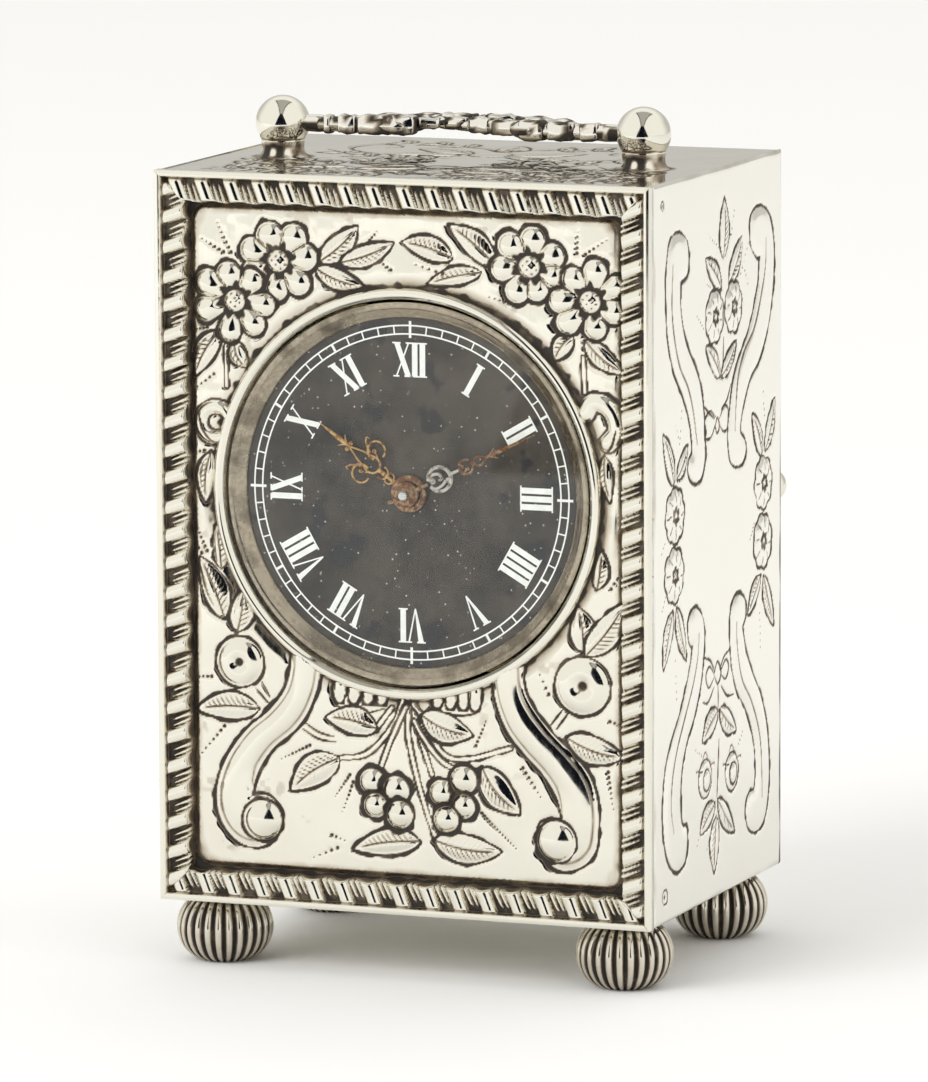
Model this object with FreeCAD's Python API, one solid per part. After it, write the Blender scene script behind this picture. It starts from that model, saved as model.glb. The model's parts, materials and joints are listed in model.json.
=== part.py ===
import FreeCAD, Part
import math
import os

# Miniature silver carriage clock, in millimetres.
# X runs to the right across the dial, Y runs from the front to the back, Z runs up.
# The origin lies on the standing surface, below the middle of the clock's outline.
# Lengths along the movement are given from the middle of the case depth, so the whole
# clock is moved by CASE_SHIFT when it is written out.

# Case
CASE_SHIFT = -2.4          # case middle, measured from the origin along Y
FRONT_Y = -22.4            # crest plane of the gadrooned border
BACK_Y = 22.4              # rear face of the case and of the door
BASE_Z = 7.6               # underside of the border, top of the feet
TOP_Z = 90.6               # upper edge of the border
BORDER_HALF = 29.5         # half width over the border
CASE_HALF = 29.3           # half width over the side walls
WALL = 1.0                 # thickness of the silver walls
CASE_LOW = BASE_Z + 0.2    # underside of the case
CASE_HIGH = TOP_Z - 0.2    # top of the case
EDGE_ROUND = 0.9           # rounding of the long case edges
WALL_FRONT = -20.9         # front edge of the walls, behind the border flange
PANEL_FRONT = -20.4        # field of the front panel
PANEL_BACK = -19.4
INNER_HALF = CASE_HALF - WALL
INNER_LOW = CASE_LOW + WALL
INNER_HIGH = CASE_HIGH - WALL
PIN_HOLE = (-17.0, 10.7, 0.55)     # Y, Z and radius of the drilled hole in the right wall

# Gadrooned border
BAND_WIDTH = 3.4
RIM_WIDTH = 0.8
BAND_BED = -21.3
LOBE_RADIUS = 0.82
LOBE_SLANT = 20.0
LOBES_ACROSS = 17
LOBES_UP = 25

# Bezel, glass and dial
DIAL_Z = 55.0              # height of the dial centre
BEZEL_RADIUS = 23.3
APERTURE_RADIUS = 22.2
SEAT_RADIUS = 21.65        # inside of the bezel, outside of glass, reflector and dial
GLASS_SEAT = -20.4
DIAL_FRONT = -19.1
DIAL_BACK = -18.4
DIAL_FOOT_OFFSET = 16.8

# Hands
MINUTE_LENGTH = 17.2
HOUR_LENGTH = 13.3
MINUTE_ANGLE = 64.2        # degrees clockwise from twelve, at rest
HOUR_ANGLE = 305.35
ARBOR_R = 0.55
CANNON_R = 0.95
HOUR_PIPE_R = 1.5

# Finials and handle
FINIAL_X = 21.8
FINIAL_Y = -2.85
BALL_Z = 94.4
BALL_R = 3.1
HANDLE_THICK = 1.8
HANDLE_PIN_R = 0.6

# Feet
FOOT_X = 24.2
FOOT_Y = 16.0
FOOT_R = 5.55
FOOT_RIBS = 26

# Door and hinge
DOOR_IN = 21.2
DOOR_HALF = 28.1
DOOR_LOW = 9.0
DOOR_HIGH = 89.2
HINGE_X = -28.45
HINGE_Y = 23.35
KNUCKLE_R = 0.85
HINGE_PIN_R = 0.4
KNOB_X = 26.9
KNOB_Z = 51.2
KNOB_R = 1.9

# Movement plates
PLATE_F0 = -14.6
PLATE_F1 = -13.4
PLATE_B0 = 3.6
PLATE_B1 = 4.8
PILLAR_AT = (16.0, 18.0)
POST_AT = (19.0, 14.5)
PLATE_SCREW_R = 0.8

# Wheel train: teeth and modules of each meshing pair, arbor places from the dial centre
TOOTH_ANGLE = math.radians(20.0)
WHEEL_SHARE = 0.43
PINION_SHARE = 0.36
BARREL_TEETH, INTER_PINION, BARREL_MODULE = 72, 10, 0.25
INTER_TEETH, CENTRE_PINION, INTER_MODULE = 60, 10, 0.225
CENTRE_TEETH, THIRD_PINION, CENTRE_MODULE = 64, 8, 0.21
THIRD_TEETH, FOURTH_PINION, THIRD_MODULE = 60, 8, 0.2
FOURTH_TEETH, ESCAPE_PINION, FOURTH_MODULE = 70, 7, 0.16
CANNON_TEETH, MINUTE_TEETH, CANNON_MODULE = 12, 36, 0.25
MINUTE_PINION, HOUR_TEETH, HOUR_MODULE = 10, 40, 0.24
BARREL_AT = (0.0, -10.6)
BARREL_WALL_R = 8.6
BARREL_BORE_R = 8.0
BARREL_ARBOR_R = 1.3
HUB_R = 2.6

# Escapement
LEVER_LINE = math.radians(35.0)
ESCAPE_TO_PALLET = 3.9
ESCAPE_TO_BALANCE = 8.8
ESCAPE_R = 3.3
BALANCE_R = 4.5
PLATFORM_TOP = 5.8
RUN = 0.05                 # radial running clearance of pivots


def spacing(wheel, pinion, module):
    """Distance between two meshing arbors."""
    return (wheel + pinion) * module / 2.0


def polar(origin, distance, angle):
    """Point at a distance and direction from another point."""
    return (origin[0] + distance * math.cos(angle), origin[1] + distance * math.sin(angle))


def heading(start, end):
    """Direction from one point to another."""
    return math.atan2(end[1] - start[1], end[0] - start[0])


def two_circles(a, ra, b, rb):
    """Left-hand meeting point of two circles."""
    base = math.hypot(b[0] - a[0], b[1] - a[1])
    along = (ra * ra - rb * rb + base * base) / (2.0 * base)
    up = math.sqrt(ra * ra - along * along)
    way = heading(a, b)
    foot = polar(a, along, way)
    return min(polar(foot, up, way + math.pi / 2), polar(foot, up, way - math.pi / 2))


CENTRE = (0.0, 0.0)
INTER_AT = two_circles(CENTRE, spacing(INTER_TEETH, CENTRE_PINION, INTER_MODULE),
                       BARREL_AT, spacing(BARREL_TEETH, INTER_PINION, BARREL_MODULE))
THIRD_AT = polar(CENTRE, spacing(CENTRE_TEETH, THIRD_PINION, CENTRE_MODULE), math.radians(40.0))
FOURTH_AT = polar(THIRD_AT, spacing(THIRD_TEETH, FOURTH_PINION, THIRD_MODULE), math.radians(150.0))
ESCAPE_AT = polar(FOURTH_AT, spacing(FOURTH_TEETH, ESCAPE_PINION, FOURTH_MODULE), math.radians(200.0))
PALLET_AT = polar(ESCAPE_AT, ESCAPE_TO_PALLET, LEVER_LINE)
BALANCE_AT = polar(ESCAPE_AT, ESCAPE_TO_BALANCE, LEVER_LINE)
MINUTE_AT = (spacing(MINUTE_TEETH, CANNON_TEETH, CANNON_MODULE), 0.0)
CLICK_AT = (BARREL_AT[0] - 6.4, BARREL_AT[1] + 2.6)
ESCAPE_FOOT = polar(ESCAPE_AT, 4.6, math.pi)
BALANCE_FOOT = polar(BALANCE_AT, 6.5, math.radians(-20.0))
PLATFORM_HOLES = [(-12.0, 3.0), (8.5, 3.0), (-12.0, 16.4), (8.5, 16.4)]


# ---------------------------------------------------------------- plain shapes

def point(x, y, z):
    return FreeCAD.Vector(x, y, z)


def box(x0, x1, y0, y1, z0, z1):
    return Part.makeBox(x1 - x0, y1 - y0, z1 - z0, point(x0, y0, z0))


def rod(at, radius, y0, y1):
    """Round bar along Y, placed from the dial centre."""
    return Part.makeCylinder(radius, y1 - y0, point(at[0], y0, at[1] + DIAL_Z), point(0, 1, 0))


def post(x, y, radius, z0, z1):
    """Upright round bar."""
    return Part.makeCylinder(radius, z1 - z0, point(x, y, z0), point(0, 0, 1))


def wire_through(points, closed=True):
    ends = points + [points[0]] if closed else points
    return Part.makePolygon(ends)


def prism(outline, y0, y1):
    """Flat plate along Y from corner points given from the dial centre."""
    corners = [point(x, y0, z + DIAL_Z) for x, z in outline]
    return Part.Face(wire_through(corners)).extrude(point(0, y1 - y0, 0))


def turned(at, profile, axis_y=True):
    """Solid of revolution from (radius, height) corners."""
    if axis_y:
        corners = [point(at[0] + r, h, at[1] + DIAL_Z) for r, h in profile]
        centre = point(at[0], 0, at[1] + DIAL_Z)
        return Part.Face(wire_through(corners)).revolve(centre, point(0, 1, 0), 360)
    corners = [point(at[0] + r, at[1], h) for r, h in profile]
    return Part.Face(wire_through(corners)).revolve(point(at[0], at[1], 0), point(0, 0, 1), 360)


def square_bar(at, side, y0, y1):
    half = side / 2.0
    return prism([(at[0] + a * half, at[1] + b * half) for a, b in ((-1, -1), (1, -1), (1, 1), (-1, 1))], y0, y1)


def joined(first, others):
    solid = first.multiFuse(others) if others else first
    return solid.removeSplitter()


def drilled(solid, cutters):
    return solid.cut(Part.makeCompound(cutters))


def rounded_slab(half_x, z0, z1, y0, y1, radius, centre_x=0.0):
    """Plate with rounded corners, heights from the dial centre."""
    slab = box(centre_x - half_x, centre_x + half_x, y0, y1, z0 + DIAL_Z, z1 + DIAL_Z)
    corners = [e for e in slab.Edges if abs(e.Vertexes[0].Y - e.Vertexes[1].Y) > 0.1]
    return slab.makeFillet(radius, corners)


def bar_between(start, end, half0, half1, y0, y1):
    """Tapering flat bar with round ends."""
    way = heading(start, end)
    side = way + math.pi / 2
    outline = [polar(start, half0, side), polar(end, half1, side),
               polar(end, -half1, side), polar(start, -half0, side)]
    ends = [rod(start, half0, y0, y1), rod(end, half1, y0, y1)]
    return joined(prism(outline, y0, y1), ends)


# ---------------------------------------------------------------- gear teeth

def involute(angle):
    return math.tan(angle) - angle


def tooth_half_angle(radius, pitch, base, share, teeth):
    """Half of a tooth's angle at a radius."""
    at = max(radius, base)
    return share * math.pi / teeth + involute(TOOTH_ANGLE) - involute(math.acos(min(1.0, base / at)))


def toothed_face(teeth, module, share, addendum, dedendum, phase, y):
    """Face of a toothed wheel, centred on the dial centre."""
    pitch = teeth * module / 2.0
    base = pitch * math.cos(TOOTH_ANGLE)
    tip = pitch + addendum * module
    root = pitch - dedendum * module
    foot = max(root, base)
    middle = (foot + tip) / 2.0
    step = 2.0 * math.pi / teeth

    def at(radius, angle):
        return point(radius * math.cos(angle), y, radius * math.sin(angle) + DIAL_Z)

    edges = []
    for i in range(teeth):
        mid = phase + i * step
        half = {r: tooth_half_angle(r, pitch, base, share, teeth) for r in (foot, middle, tip)}
        gap = mid - step / 2.0
        before = gap - (step / 2.0 - half[foot])
        edges.append(Part.Arc(at(root, before), at(root, gap), at(root, mid - half[foot])).toShape())
        if foot > root:
            edges.append(Part.makeLine(at(root, mid - half[foot]), at(foot, mid - half[foot])))
        edges.append(Part.Arc(at(foot, mid - half[foot]), at(middle, mid - half[middle]),
                              at(tip, mid - half[tip])).toShape())
        edges.append(Part.Arc(at(tip, mid - half[tip]), at(tip, mid), at(tip, mid + half[tip])).toShape())
        edges.append(Part.Arc(at(tip, mid + half[tip]), at(middle, mid + half[middle]),
                              at(foot, mid + half[foot])).toShape())
        if foot > root:
            edges.append(Part.makeLine(at(foot, mid + half[foot]), at(root, mid + half[foot])))
    return Part.Face(Part.Wire(edges))


def wheel(at, teeth, module, y0, y1, toward):
    """Wheel rim with a tooth on the line of centres."""
    face = toothed_face(teeth, module, WHEEL_SHARE, 0.72, 1.2, heading(at, toward), y0)
    solid = face.extrude(point(0, y1 - y0, 0))
    solid.translate(point(at[0], 0, at[1]))
    return solid


def pinion(at, teeth, module, y0, y1, toward):
    """Pinion with a gap on the line of centres."""
    phase = heading(at, toward) + math.pi / teeth
    face = toothed_face(teeth, module, PINION_SHARE, 0.85, 1.25, phase, y0)
    solid = face.extrude(point(0, y1 - y0, 0))
    solid.translate(point(at[0], 0, at[1]))
    return solid


def crossed_out(solid, at, inner, outer, arms, y0, y1, turn=0.0):
    """Cut the windows between the arms of a wheel."""
    ring = rod(at, outer, y0, y1).cut(rod(at, inner, y0, y1))
    spokes = []
    for i in range(arms):
        way = turn + 2.0 * math.pi * i / arms
        spokes.append(bar_between(at, polar(at, outer + 1.0, way), 0.5, 0.36, y0, y1))
    windows = ring.cut(Part.makeCompound(spokes))
    return solid.cut(windows)


# ---------------------------------------------------------------- case

def case_body():
    outer = box(-CASE_HALF, CASE_HALF, WALL_FRONT, BACK_Y, CASE_LOW, CASE_HIGH)
    long_edges = [e for e in outer.Edges if abs(e.Vertexes[0].Y - e.Vertexes[1].Y) > 1.0]
    outer = outer.makeFillet(EDGE_ROUND, long_edges)
    hollow = box(-INNER_HALF, INNER_HALF, WALL_FRONT, BACK_Y, INNER_LOW, INNER_HIGH)
    stop = box(-INNER_HALF, INNER_HALF, 20.1, 21.1, INNER_LOW, INNER_HIGH)
    stop = stop.cut(box(-INNER_HALF + 1, INNER_HALF - 1, 20.1, 21.1, INNER_LOW + 1, INNER_HIGH - 1))
    shell = joined(outer.cut(hollow), [stop])
    holes = [post(side * FINIAL_X, FINIAL_Y, 1.0, INNER_HIGH, CASE_HIGH) for side in (-1, 1)]
    holes += [post(x * FOOT_X, y * FOOT_Y, 0.8, CASE_LOW, INNER_LOW) for x in (-1, 1) for y in (-1, 1)]
    hole_y, hole_z, hole_r = PIN_HOLE
    holes.append(Part.makeCylinder(hole_r, WALL, point(INNER_HALF, hole_y, hole_z), point(1, 0, 0)))
    return drilled(shell, holes)


def front_panel():
    plate = box(-INNER_HALF, INNER_HALF, PANEL_FRONT, PANEL_BACK, INNER_LOW, INNER_HIGH)
    return plate.cut(rod(CENTRE, APERTURE_RADIUS, PANEL_FRONT, PANEL_BACK))


def lobe(x, z, way):
    """One slanted gadroon lying across the border band."""
    length = BAND_WIDTH - RIM_WIDTH + 0.3
    direction = point(math.cos(way), 0, math.sin(way))
    start = point(x, BAND_BED, z) - direction * (length / 2.0)
    return Part.makeCylinder(LOBE_RADIUS, length, start, direction)


def border_frame(half_x, low, high, width, y0, y1):
    """Rectangular frame of a given width."""
    outer = box(-half_x, half_x, y0, y1, low, high)
    return outer.cut(box(-half_x + width, half_x - width, y0, y1, low + width, high - width))


def gadroon_border():
    flange = box(-BORDER_HALF, BORDER_HALF, FRONT_Y, WALL_FRONT, BASE_Z, TOP_Z)
    corners = [e for e in flange.Edges if abs(e.Vertexes[0].Y - e.Vertexes[1].Y) > 0.1]
    flange = flange.makeFillet(1.5, corners)
    channel = box(-BORDER_HALF + RIM_WIDTH, BORDER_HALF - RIM_WIDTH, FRONT_Y, BAND_BED,
                  BASE_Z + RIM_WIDTH, TOP_Z - RIM_WIDTH)
    window = box(-BORDER_HALF + BAND_WIDTH, BORDER_HALF - BAND_WIDTH, FRONT_Y, PANEL_FRONT,
                 BASE_Z + BAND_WIDTH, TOP_Z - BAND_WIDTH)
    seat_width = INNER_HALF - BORDER_HALF + BAND_WIDTH
    seat = border_frame(INNER_HALF, INNER_LOW, INNER_HIGH, seat_width, WALL_FRONT, PANEL_FRONT)
    middle_z = (BASE_Z + TOP_Z) / 2.0
    offset = RIM_WIDTH + (BAND_WIDTH - RIM_WIDTH) / 2.0
    side = BORDER_HALF - offset
    rise = (TOP_Z - BASE_Z) / 2.0 - offset
    slant = math.radians(LOBE_SLANT)
    lobes = []
    for i in range(LOBES_ACROSS):
        x = (i - (LOBES_ACROSS - 1) / 2.0) * 2.0 * side / LOBES_ACROSS
        lobes.append(lobe(x, middle_z + rise, math.pi / 2 + slant))
        lobes.append(lobe(x, middle_z - rise, math.pi / 2 + slant))
    for i in range(LOBES_UP):
        z = middle_z + (i - (LOBES_UP - 1) / 2.0) * 2.0 * rise / LOBES_UP
        lobes.append(lobe(side, z, slant))
        lobes.append(lobe(-side, z, slant))
    frame = joined(flange.cut(channel).cut(window), [seat] + lobes)
    step = BORDER_HALF - INNER_HALF
    walls = border_frame(BORDER_HALF + 1.0, BASE_Z - 1.0, TOP_Z + 1.0, 1.0 + step, WALL_FRONT, PANEL_BACK)
    return frame.cut(walls)


def bezel():
    return turned(CENTRE, [(SEAT_RADIUS, DIAL_BACK), (APERTURE_RADIUS, DIAL_BACK), (APERTURE_RADIUS, PANEL_FRONT),
                           (BEZEL_RADIUS, PANEL_FRONT), (BEZEL_RADIUS, -20.75), (23.1, -21.0), (22.7, -21.22),
                           (22.3, -21.3), (21.95, -21.25), (SEAT_RADIUS, -21.05)])


def dome(radius, rim_y, apex_y):
    """Arc of a shallow dome from the rim to the middle."""
    sag = rim_y - apex_y
    ball = (radius * radius + sag * sag) / (2.0 * sag)
    half = radius / 2.0
    drop = ball - math.sqrt(ball * ball - half * half)
    return Part.Arc(point(radius, rim_y, DIAL_Z), point(half, apex_y + drop, DIAL_Z),
                    point(0, apex_y, DIAL_Z)).toShape()


def dial_glass():
    outer = dome(SEAT_RADIUS, -21.0, -22.9)
    inner = dome(20.9, GLASS_SEAT, -22.3)
    lines = [Part.makeLine(point(0, -22.9, DIAL_Z), point(0, -22.3, DIAL_Z)),
             Part.makeLine(point(20.9, GLASS_SEAT, DIAL_Z), point(SEAT_RADIUS, GLASS_SEAT, DIAL_Z)),
             Part.makeLine(point(SEAT_RADIUS, GLASS_SEAT, DIAL_Z), point(SEAT_RADIUS, -21.0, DIAL_Z))]
    face = Part.Face(Part.Wire(Part.__sortEdges__([outer, inner] + lines)))
    return face.revolve(point(0, 0, DIAL_Z), point(0, 1, 0), 360)


def reflector_ring():
    return turned(CENTRE, [(SEAT_RADIUS, GLASS_SEAT), (SEAT_RADIUS, DIAL_FRONT), (19.7, DIAL_FRONT),
                           (20.05, -19.55), (20.9, GLASS_SEAT)])


def dial():
    plate = rod(CENTRE, SEAT_RADIUS, DIAL_FRONT, DIAL_BACK).cut(rod(CENTRE, 1.9, DIAL_FRONT, DIAL_BACK))
    feet = [rod((0, side * DIAL_FOOT_OFFSET), 0.5, DIAL_BACK, PLATE_F1) for side in (-1, 1)]
    return joined(plate, feet)


# ---------------------------------------------------------------- hands

def hand_turned(solid, angle):
    solid.rotate(point(0, 0, DIAL_Z), point(0, 1, 0), angle)
    return solid


def ring_link(height, radius, wire, y0, y1, side=0.0):
    at = (side, height)
    return rod(at, radius, y0, y1).cut(rod(at, radius - wire, y0, y1))


def hour_hand():
    y0, y1 = -19.95, -19.7
    boss = rod(CENTRE, 2.1, -20.05, -19.6)
    stem = bar_between((0, 1.5), (0, 5.4), 0.35, 0.25, y0, y1)
    rings = [ring_link(5.6, 1.35, 0.32, y0, y1, side * 1.45) for side in (-1, 1)]
    spine = bar_between((0, 5.0), (0, 9.6), 0.25, 0.25, y0, y1)
    cross = bar_between((-0.85, 8.6), (0.85, 8.6), 0.32, 0.32, y0, y1)
    spear = prism([(-0.2, 9.4), (0, HOUR_LENGTH), (0.2, 9.4)], y0, y1)
    leaf = prism([(-0.55, 10.2), (0, 11.4), (0.55, 10.2), (0, 9.3)], y0, y1)
    hand = joined(boss, [stem, spine, cross, spear, leaf] + rings)
    return hand_turned(hand.cut(rod(CENTRE, HOUR_PIPE_R, -21, -19)), HOUR_ANGLE)


def minute_hand():
    y0, y1 = -20.75, -20.5
    boss = rod(CENTRE, 1.45, -20.85, -20.35)
    stem = bar_between((0, 1.2), (0, 3.1), 0.32, 0.25, y0, y1)
    tail = bar_between((0, -1.2), (0, -2.1), 0.3, 0.4, y0, y1)
    rings = [ring_link(3.7, 1.0, 0.32, y0, y1), ring_link(5.5, 0.95, 0.3, y0, y1),
             ring_link(7.15, 0.8, 0.28, y0, y1), ring_link(8.5, 0.65, 0.25, y0, y1)]
    blade = prism([(-0.3, 8.9), (-0.42, 10.3), (0, MINUTE_LENGTH), (0.42, 10.3), (0.3, 8.9)], y0, y1)
    hand = joined(boss, [stem, tail, blade] + rings)
    return hand_turned(hand.cut(rod(CENTRE, CANNON_R, -21, -20)), MINUTE_ANGLE)


def hand_collet():
    return turned(CENTRE, [(ARBOR_R, -20.85), (1.15, -20.85), (1.15, -21.0), (0.8, -21.2), (ARBOR_R, -21.2)])


# ---------------------------------------------------------------- finials, handle, feet

def finial(side):
    ball = Part.makeSphere(BALL_R, point(side * FINIAL_X, FINIAL_Y, BALL_Z))
    skirt = turned((side * FINIAL_X, FINIAL_Y),
                   [(0, CASE_HIGH), (3.1, CASE_HIGH), (3.1, 90.7), (2.85, 91.2), (2.6, 91.9), (2.5, 92.7), (0, 92.7)],
                   axis_y=False)
    shank = post(side * FINIAL_X, FINIAL_Y, 1.0, 87.9, CASE_HIGH + 0.5)
    hole = Part.makeCylinder(HANDLE_PIN_R + RUN, 1.8, point(side * (FINIAL_X - 1.5), FINIAL_Y, BALL_Z),
                             point(-side, 0, 0))
    return joined(ball, [skirt, shank]).cut(hole)


def finial_nuts():
    nuts = []
    for side in (-1, 1):
        corners = [point(side * FINIAL_X + 1.9 * math.cos(a * math.pi / 3), FINIAL_Y + 1.9 * math.sin(a * math.pi / 3),
                         88.2) for a in range(6)]
        hexagon = Part.Face(wire_through(corners)).extrude(point(0, 0, INNER_HIGH - 88.2))
        nuts.append(hexagon.cut(post(side * FINIAL_X, FINIAL_Y, 1.0, 88, 90)))
    return Part.makeCompound(nuts)


def handle_outline():
    """Wavy plan of the cast bail: back edge, then front edge, from the pivot line."""
    back = [(-14.9, 1.15), (-12.7, 3.1), (-9.9, 4.7), (-6.9, 5.9), (-3.6, 7.7), (0.0, 8.7)]
    front = [(-11.6, -1.25), (-8.9, -1.05), (-6.7, 0.5), (-5.2, 2.6), (-2.7, 3.9), (0.0, 4.4)]
    return back + [(-x, v) for x, v in reversed(back[:-1])], front + [(-x, v) for x, v in reversed(front[:-1])]


def handle():
    low = BALL_Z - HANDLE_THICK / 2.0
    back, front = handle_outline()
    curves = []
    for line in (back, front):
        spline = Part.BSplineCurve()
        spline.interpolate([point(x, FINIAL_Y + v, low) for x, v in line])
        curves.append(spline.toShape())
    ends = [Part.makeLine(point(s * 14.9, FINIAL_Y + 1.15, low), point(s * 11.6, FINIAL_Y - 1.25, low))
            for s in (-1, 1)]
    band = Part.Face(Part.Wire(Part.__sortEdges__(curves + ends))).extrude(point(0, 0, HANDLE_THICK))
    parts = []
    for side in (-1, 1):
        stub = Part.makeCylinder(0.95, 5.6, point(side * 12.8, FINIAL_Y, BALL_Z), point(side, 0, 0))
        collar = Part.makeCylinder(1.25, 1.6, point(side * 13.6, FINIAL_Y, BALL_Z), point(side, 0, 0))
        pin = Part.makeCylinder(HANDLE_PIN_R, 1.9, point(side * 18.2, FINIAL_Y, BALL_Z), point(side, 0, 0))
        volute = post(side * 9.2, FINIAL_Y + 0.9, 2.1, low - 0.15, low + HANDLE_THICK + 0.15)
        parts += [stub, collar, pin, volute]
    parts.append(Part.makeSphere(1.35, point(0, FINIAL_Y + 6.4, BALL_Z)))
    return joined(band, parts)


def foot(side_x, side_y):
    """Flattened bun with gadrooned sides, from a neck under the case to a small flat."""
    levels = [(0.0, 2.5, 0.0), (0.9, 4.1, 0.05), (2.2, 5.25, 0.1), (3.9, FOOT_R - 0.1, 0.1),
              (5.4, 4.9, 0.1), (6.6, 3.7, 0.05), (CASE_LOW, 2.9, 0.0)]
    wires = []
    for height, radius, depth in levels:
        ring = []
        for i in range(FOOT_RIBS * 2):
            angle = math.pi * i / FOOT_RIBS
            r = radius + depth * (1 if i % 2 else -1)
            ring.append(point(side_x * FOOT_X + r * math.cos(angle), side_y * FOOT_Y + r * math.sin(angle), height))
        wires.append(wire_through(ring))
    bun = Part.makeLoft(wires, True, True)
    return bun.cut(post(side_x * FOOT_X, side_y * FOOT_Y, 0.8, 3.0, CASE_LOW))


def foot_screws():
    screws = []
    for x in (-1, 1):
        for y in (-1, 1):
            head = post(x * FOOT_X, y * FOOT_Y, 1.5, INNER_LOW, INNER_LOW + 0.8)
            slot = box(x * FOOT_X - 1.6, x * FOOT_X + 1.6, y * FOOT_Y - 0.15, y * FOOT_Y + 0.15,
                       INNER_LOW + 0.5, INNER_LOW + 0.9)
            shank = post(x * FOOT_X, y * FOOT_Y, 0.8, 3.0, INNER_LOW)
            screws.append(joined(head, [shank]).cut(slot))
    return Part.makeCompound(screws)


# ---------------------------------------------------------------- door

def knuckle_spans():
    """Heights of the five knuckles, case and door in turn."""
    return [(20.0 + 11.7 * i, 31.5 + 11.7 * i) for i in range(5)]


def back_door():
    plate = box(-DOOR_HALF, DOOR_HALF, DOOR_IN, BACK_Y, DOOR_LOW, DOOR_HIGH)
    return plate.cut(Part.makeCylinder(0.6, 2, point(KNOB_X, DOOR_IN - 0.5, KNOB_Z), point(0, 1, 0)))


def door_knob():
    ball = Part.makeSphere(KNOB_R, point(KNOB_X, 25.8, KNOB_Z))
    profile = [(0, DOOR_IN), (0.6, DOOR_IN), (0.6, BACK_Y), (1.2, BACK_Y), (1.2, 22.8), (0.75, 23.2), (0.75, 25.0),
               (0, 25.0)]
    return joined(ball, [turned((KNOB_X, KNOB_Z - DIAL_Z), profile)])


def hinge_leaf(spans, x0, x1, y0, bore):
    parts = []
    for low, high in spans:
        barrel = post(HINGE_X, HINGE_Y, KNUCKLE_R, low, high)
        strip = box(x0, x1, y0, HINGE_Y, low, high)
        parts.append(joined(barrel, [strip]).cut(post(HINGE_X, HINGE_Y, bore, low, high)))
    return parts


def case_hinge():
    return Part.makeCompound(hinge_leaf(knuckle_spans()[0::2], -CASE_HALF, HINGE_X, BACK_Y, HINGE_PIN_R))


def door_hinge():
    parts = hinge_leaf(knuckle_spans()[1::2], HINGE_X, -26.4, BACK_Y + 0.1, HINGE_PIN_R + RUN)
    pads = [box(-DOOR_HALF, -26.4, BACK_Y, BACK_Y + 0.1, low, high) for low, high in knuckle_spans()[1::2]]
    return Part.makeCompound([joined(part, [pad]) for part, pad in zip(parts, pads)])


def hinge_pin():
    low, high = knuckle_spans()[0][0], knuckle_spans()[-1][1]
    return post(HINGE_X, HINGE_Y, HINGE_PIN_R, low, high)


def catch_spring():
    base = box(27.3, INNER_HALF, 11.0, 13.5, 49.2, 53.2)
    leaf = box(27.0, 27.3, 11.0, 19.4, 49.2, 53.2)
    bump = post(27.0, 18.3, 0.4, 49.2, 53.2)
    return joined(base, [leaf, bump])


def catch_tongue():
    return box(25.6, 26.4, 17.5, DOOR_IN, 49.4, 53.0)


# ---------------------------------------------------------------- movement frame

def movement_posts():
    posts = []
    for x in (-1, 1):
        for z in (-1, 1):
            at = (x * POST_AT[0], z * POST_AT[1])
            posts.append(rod(at, 1.5, PANEL_BACK, PLATE_F0).cut(rod(at, PLATE_SCREW_R, -17.2, PLATE_F0)))
    return Part.makeCompound(posts)


def cheese_screw(at, head_r, head_y, head_h, shank_r, depth):
    """Slotted screw facing the back, its shank running forward."""
    head = rod(at, head_r, head_y, head_y + head_h)
    shank = rod(at, shank_r, head_y - depth, head_y)
    z = at[1] + DIAL_Z
    slot = box(at[0] - head_r - 0.1, at[0] + head_r + 0.1, head_y + head_h * 0.55, head_y + head_h + 0.1,
               z - head_r * 0.14, z + head_r * 0.14)
    return joined(head, [shank]).cut(slot)


def movement_screws():
    return Part.makeCompound([cheese_screw((x * POST_AT[0], z * POST_AT[1]), 1.4, PLATE_F1, 0.8,
                                           PLATE_SCREW_R, PLATE_F1 + 17.2) for x in (-1, 1) for z in (-1, 1)])


def front_plate():
    plate = rounded_slab(21.0, -20.5, 20.5, PLATE_F0, PLATE_F1, 2.5)
    holes = [rod((x * POST_AT[0], z * POST_AT[1]), PLATE_SCREW_R, PLATE_F0, PLATE_F1) for x in (-1, 1) for z in (-1, 1)]
    holes += [rod((x * PILLAR_AT[0], z * PILLAR_AT[1]), 0.8, PLATE_F0, PLATE_F1) for x in (-1, 1) for z in (-1, 1)]
    holes += [rod((0, z * DIAL_FOOT_OFFSET), 0.5, PLATE_F0, PLATE_F1) for z in (-1, 1)]
    holes += [rod(CENTRE, ARBOR_R + RUN, PLATE_F0, PLATE_F1), rod(MINUTE_AT, 0.6, PLATE_F0, PLATE_F1)]
    holes += [rod(at, 0.3 + RUN, PLATE_F0, PLATE_F1) for at in (INTER_AT, THIRD_AT, FOURTH_AT)]
    holes.append(rod(BARREL_AT, 1.0 + RUN, PLATE_F0, PLATE_F1))
    return drilled(plate, holes)


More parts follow.
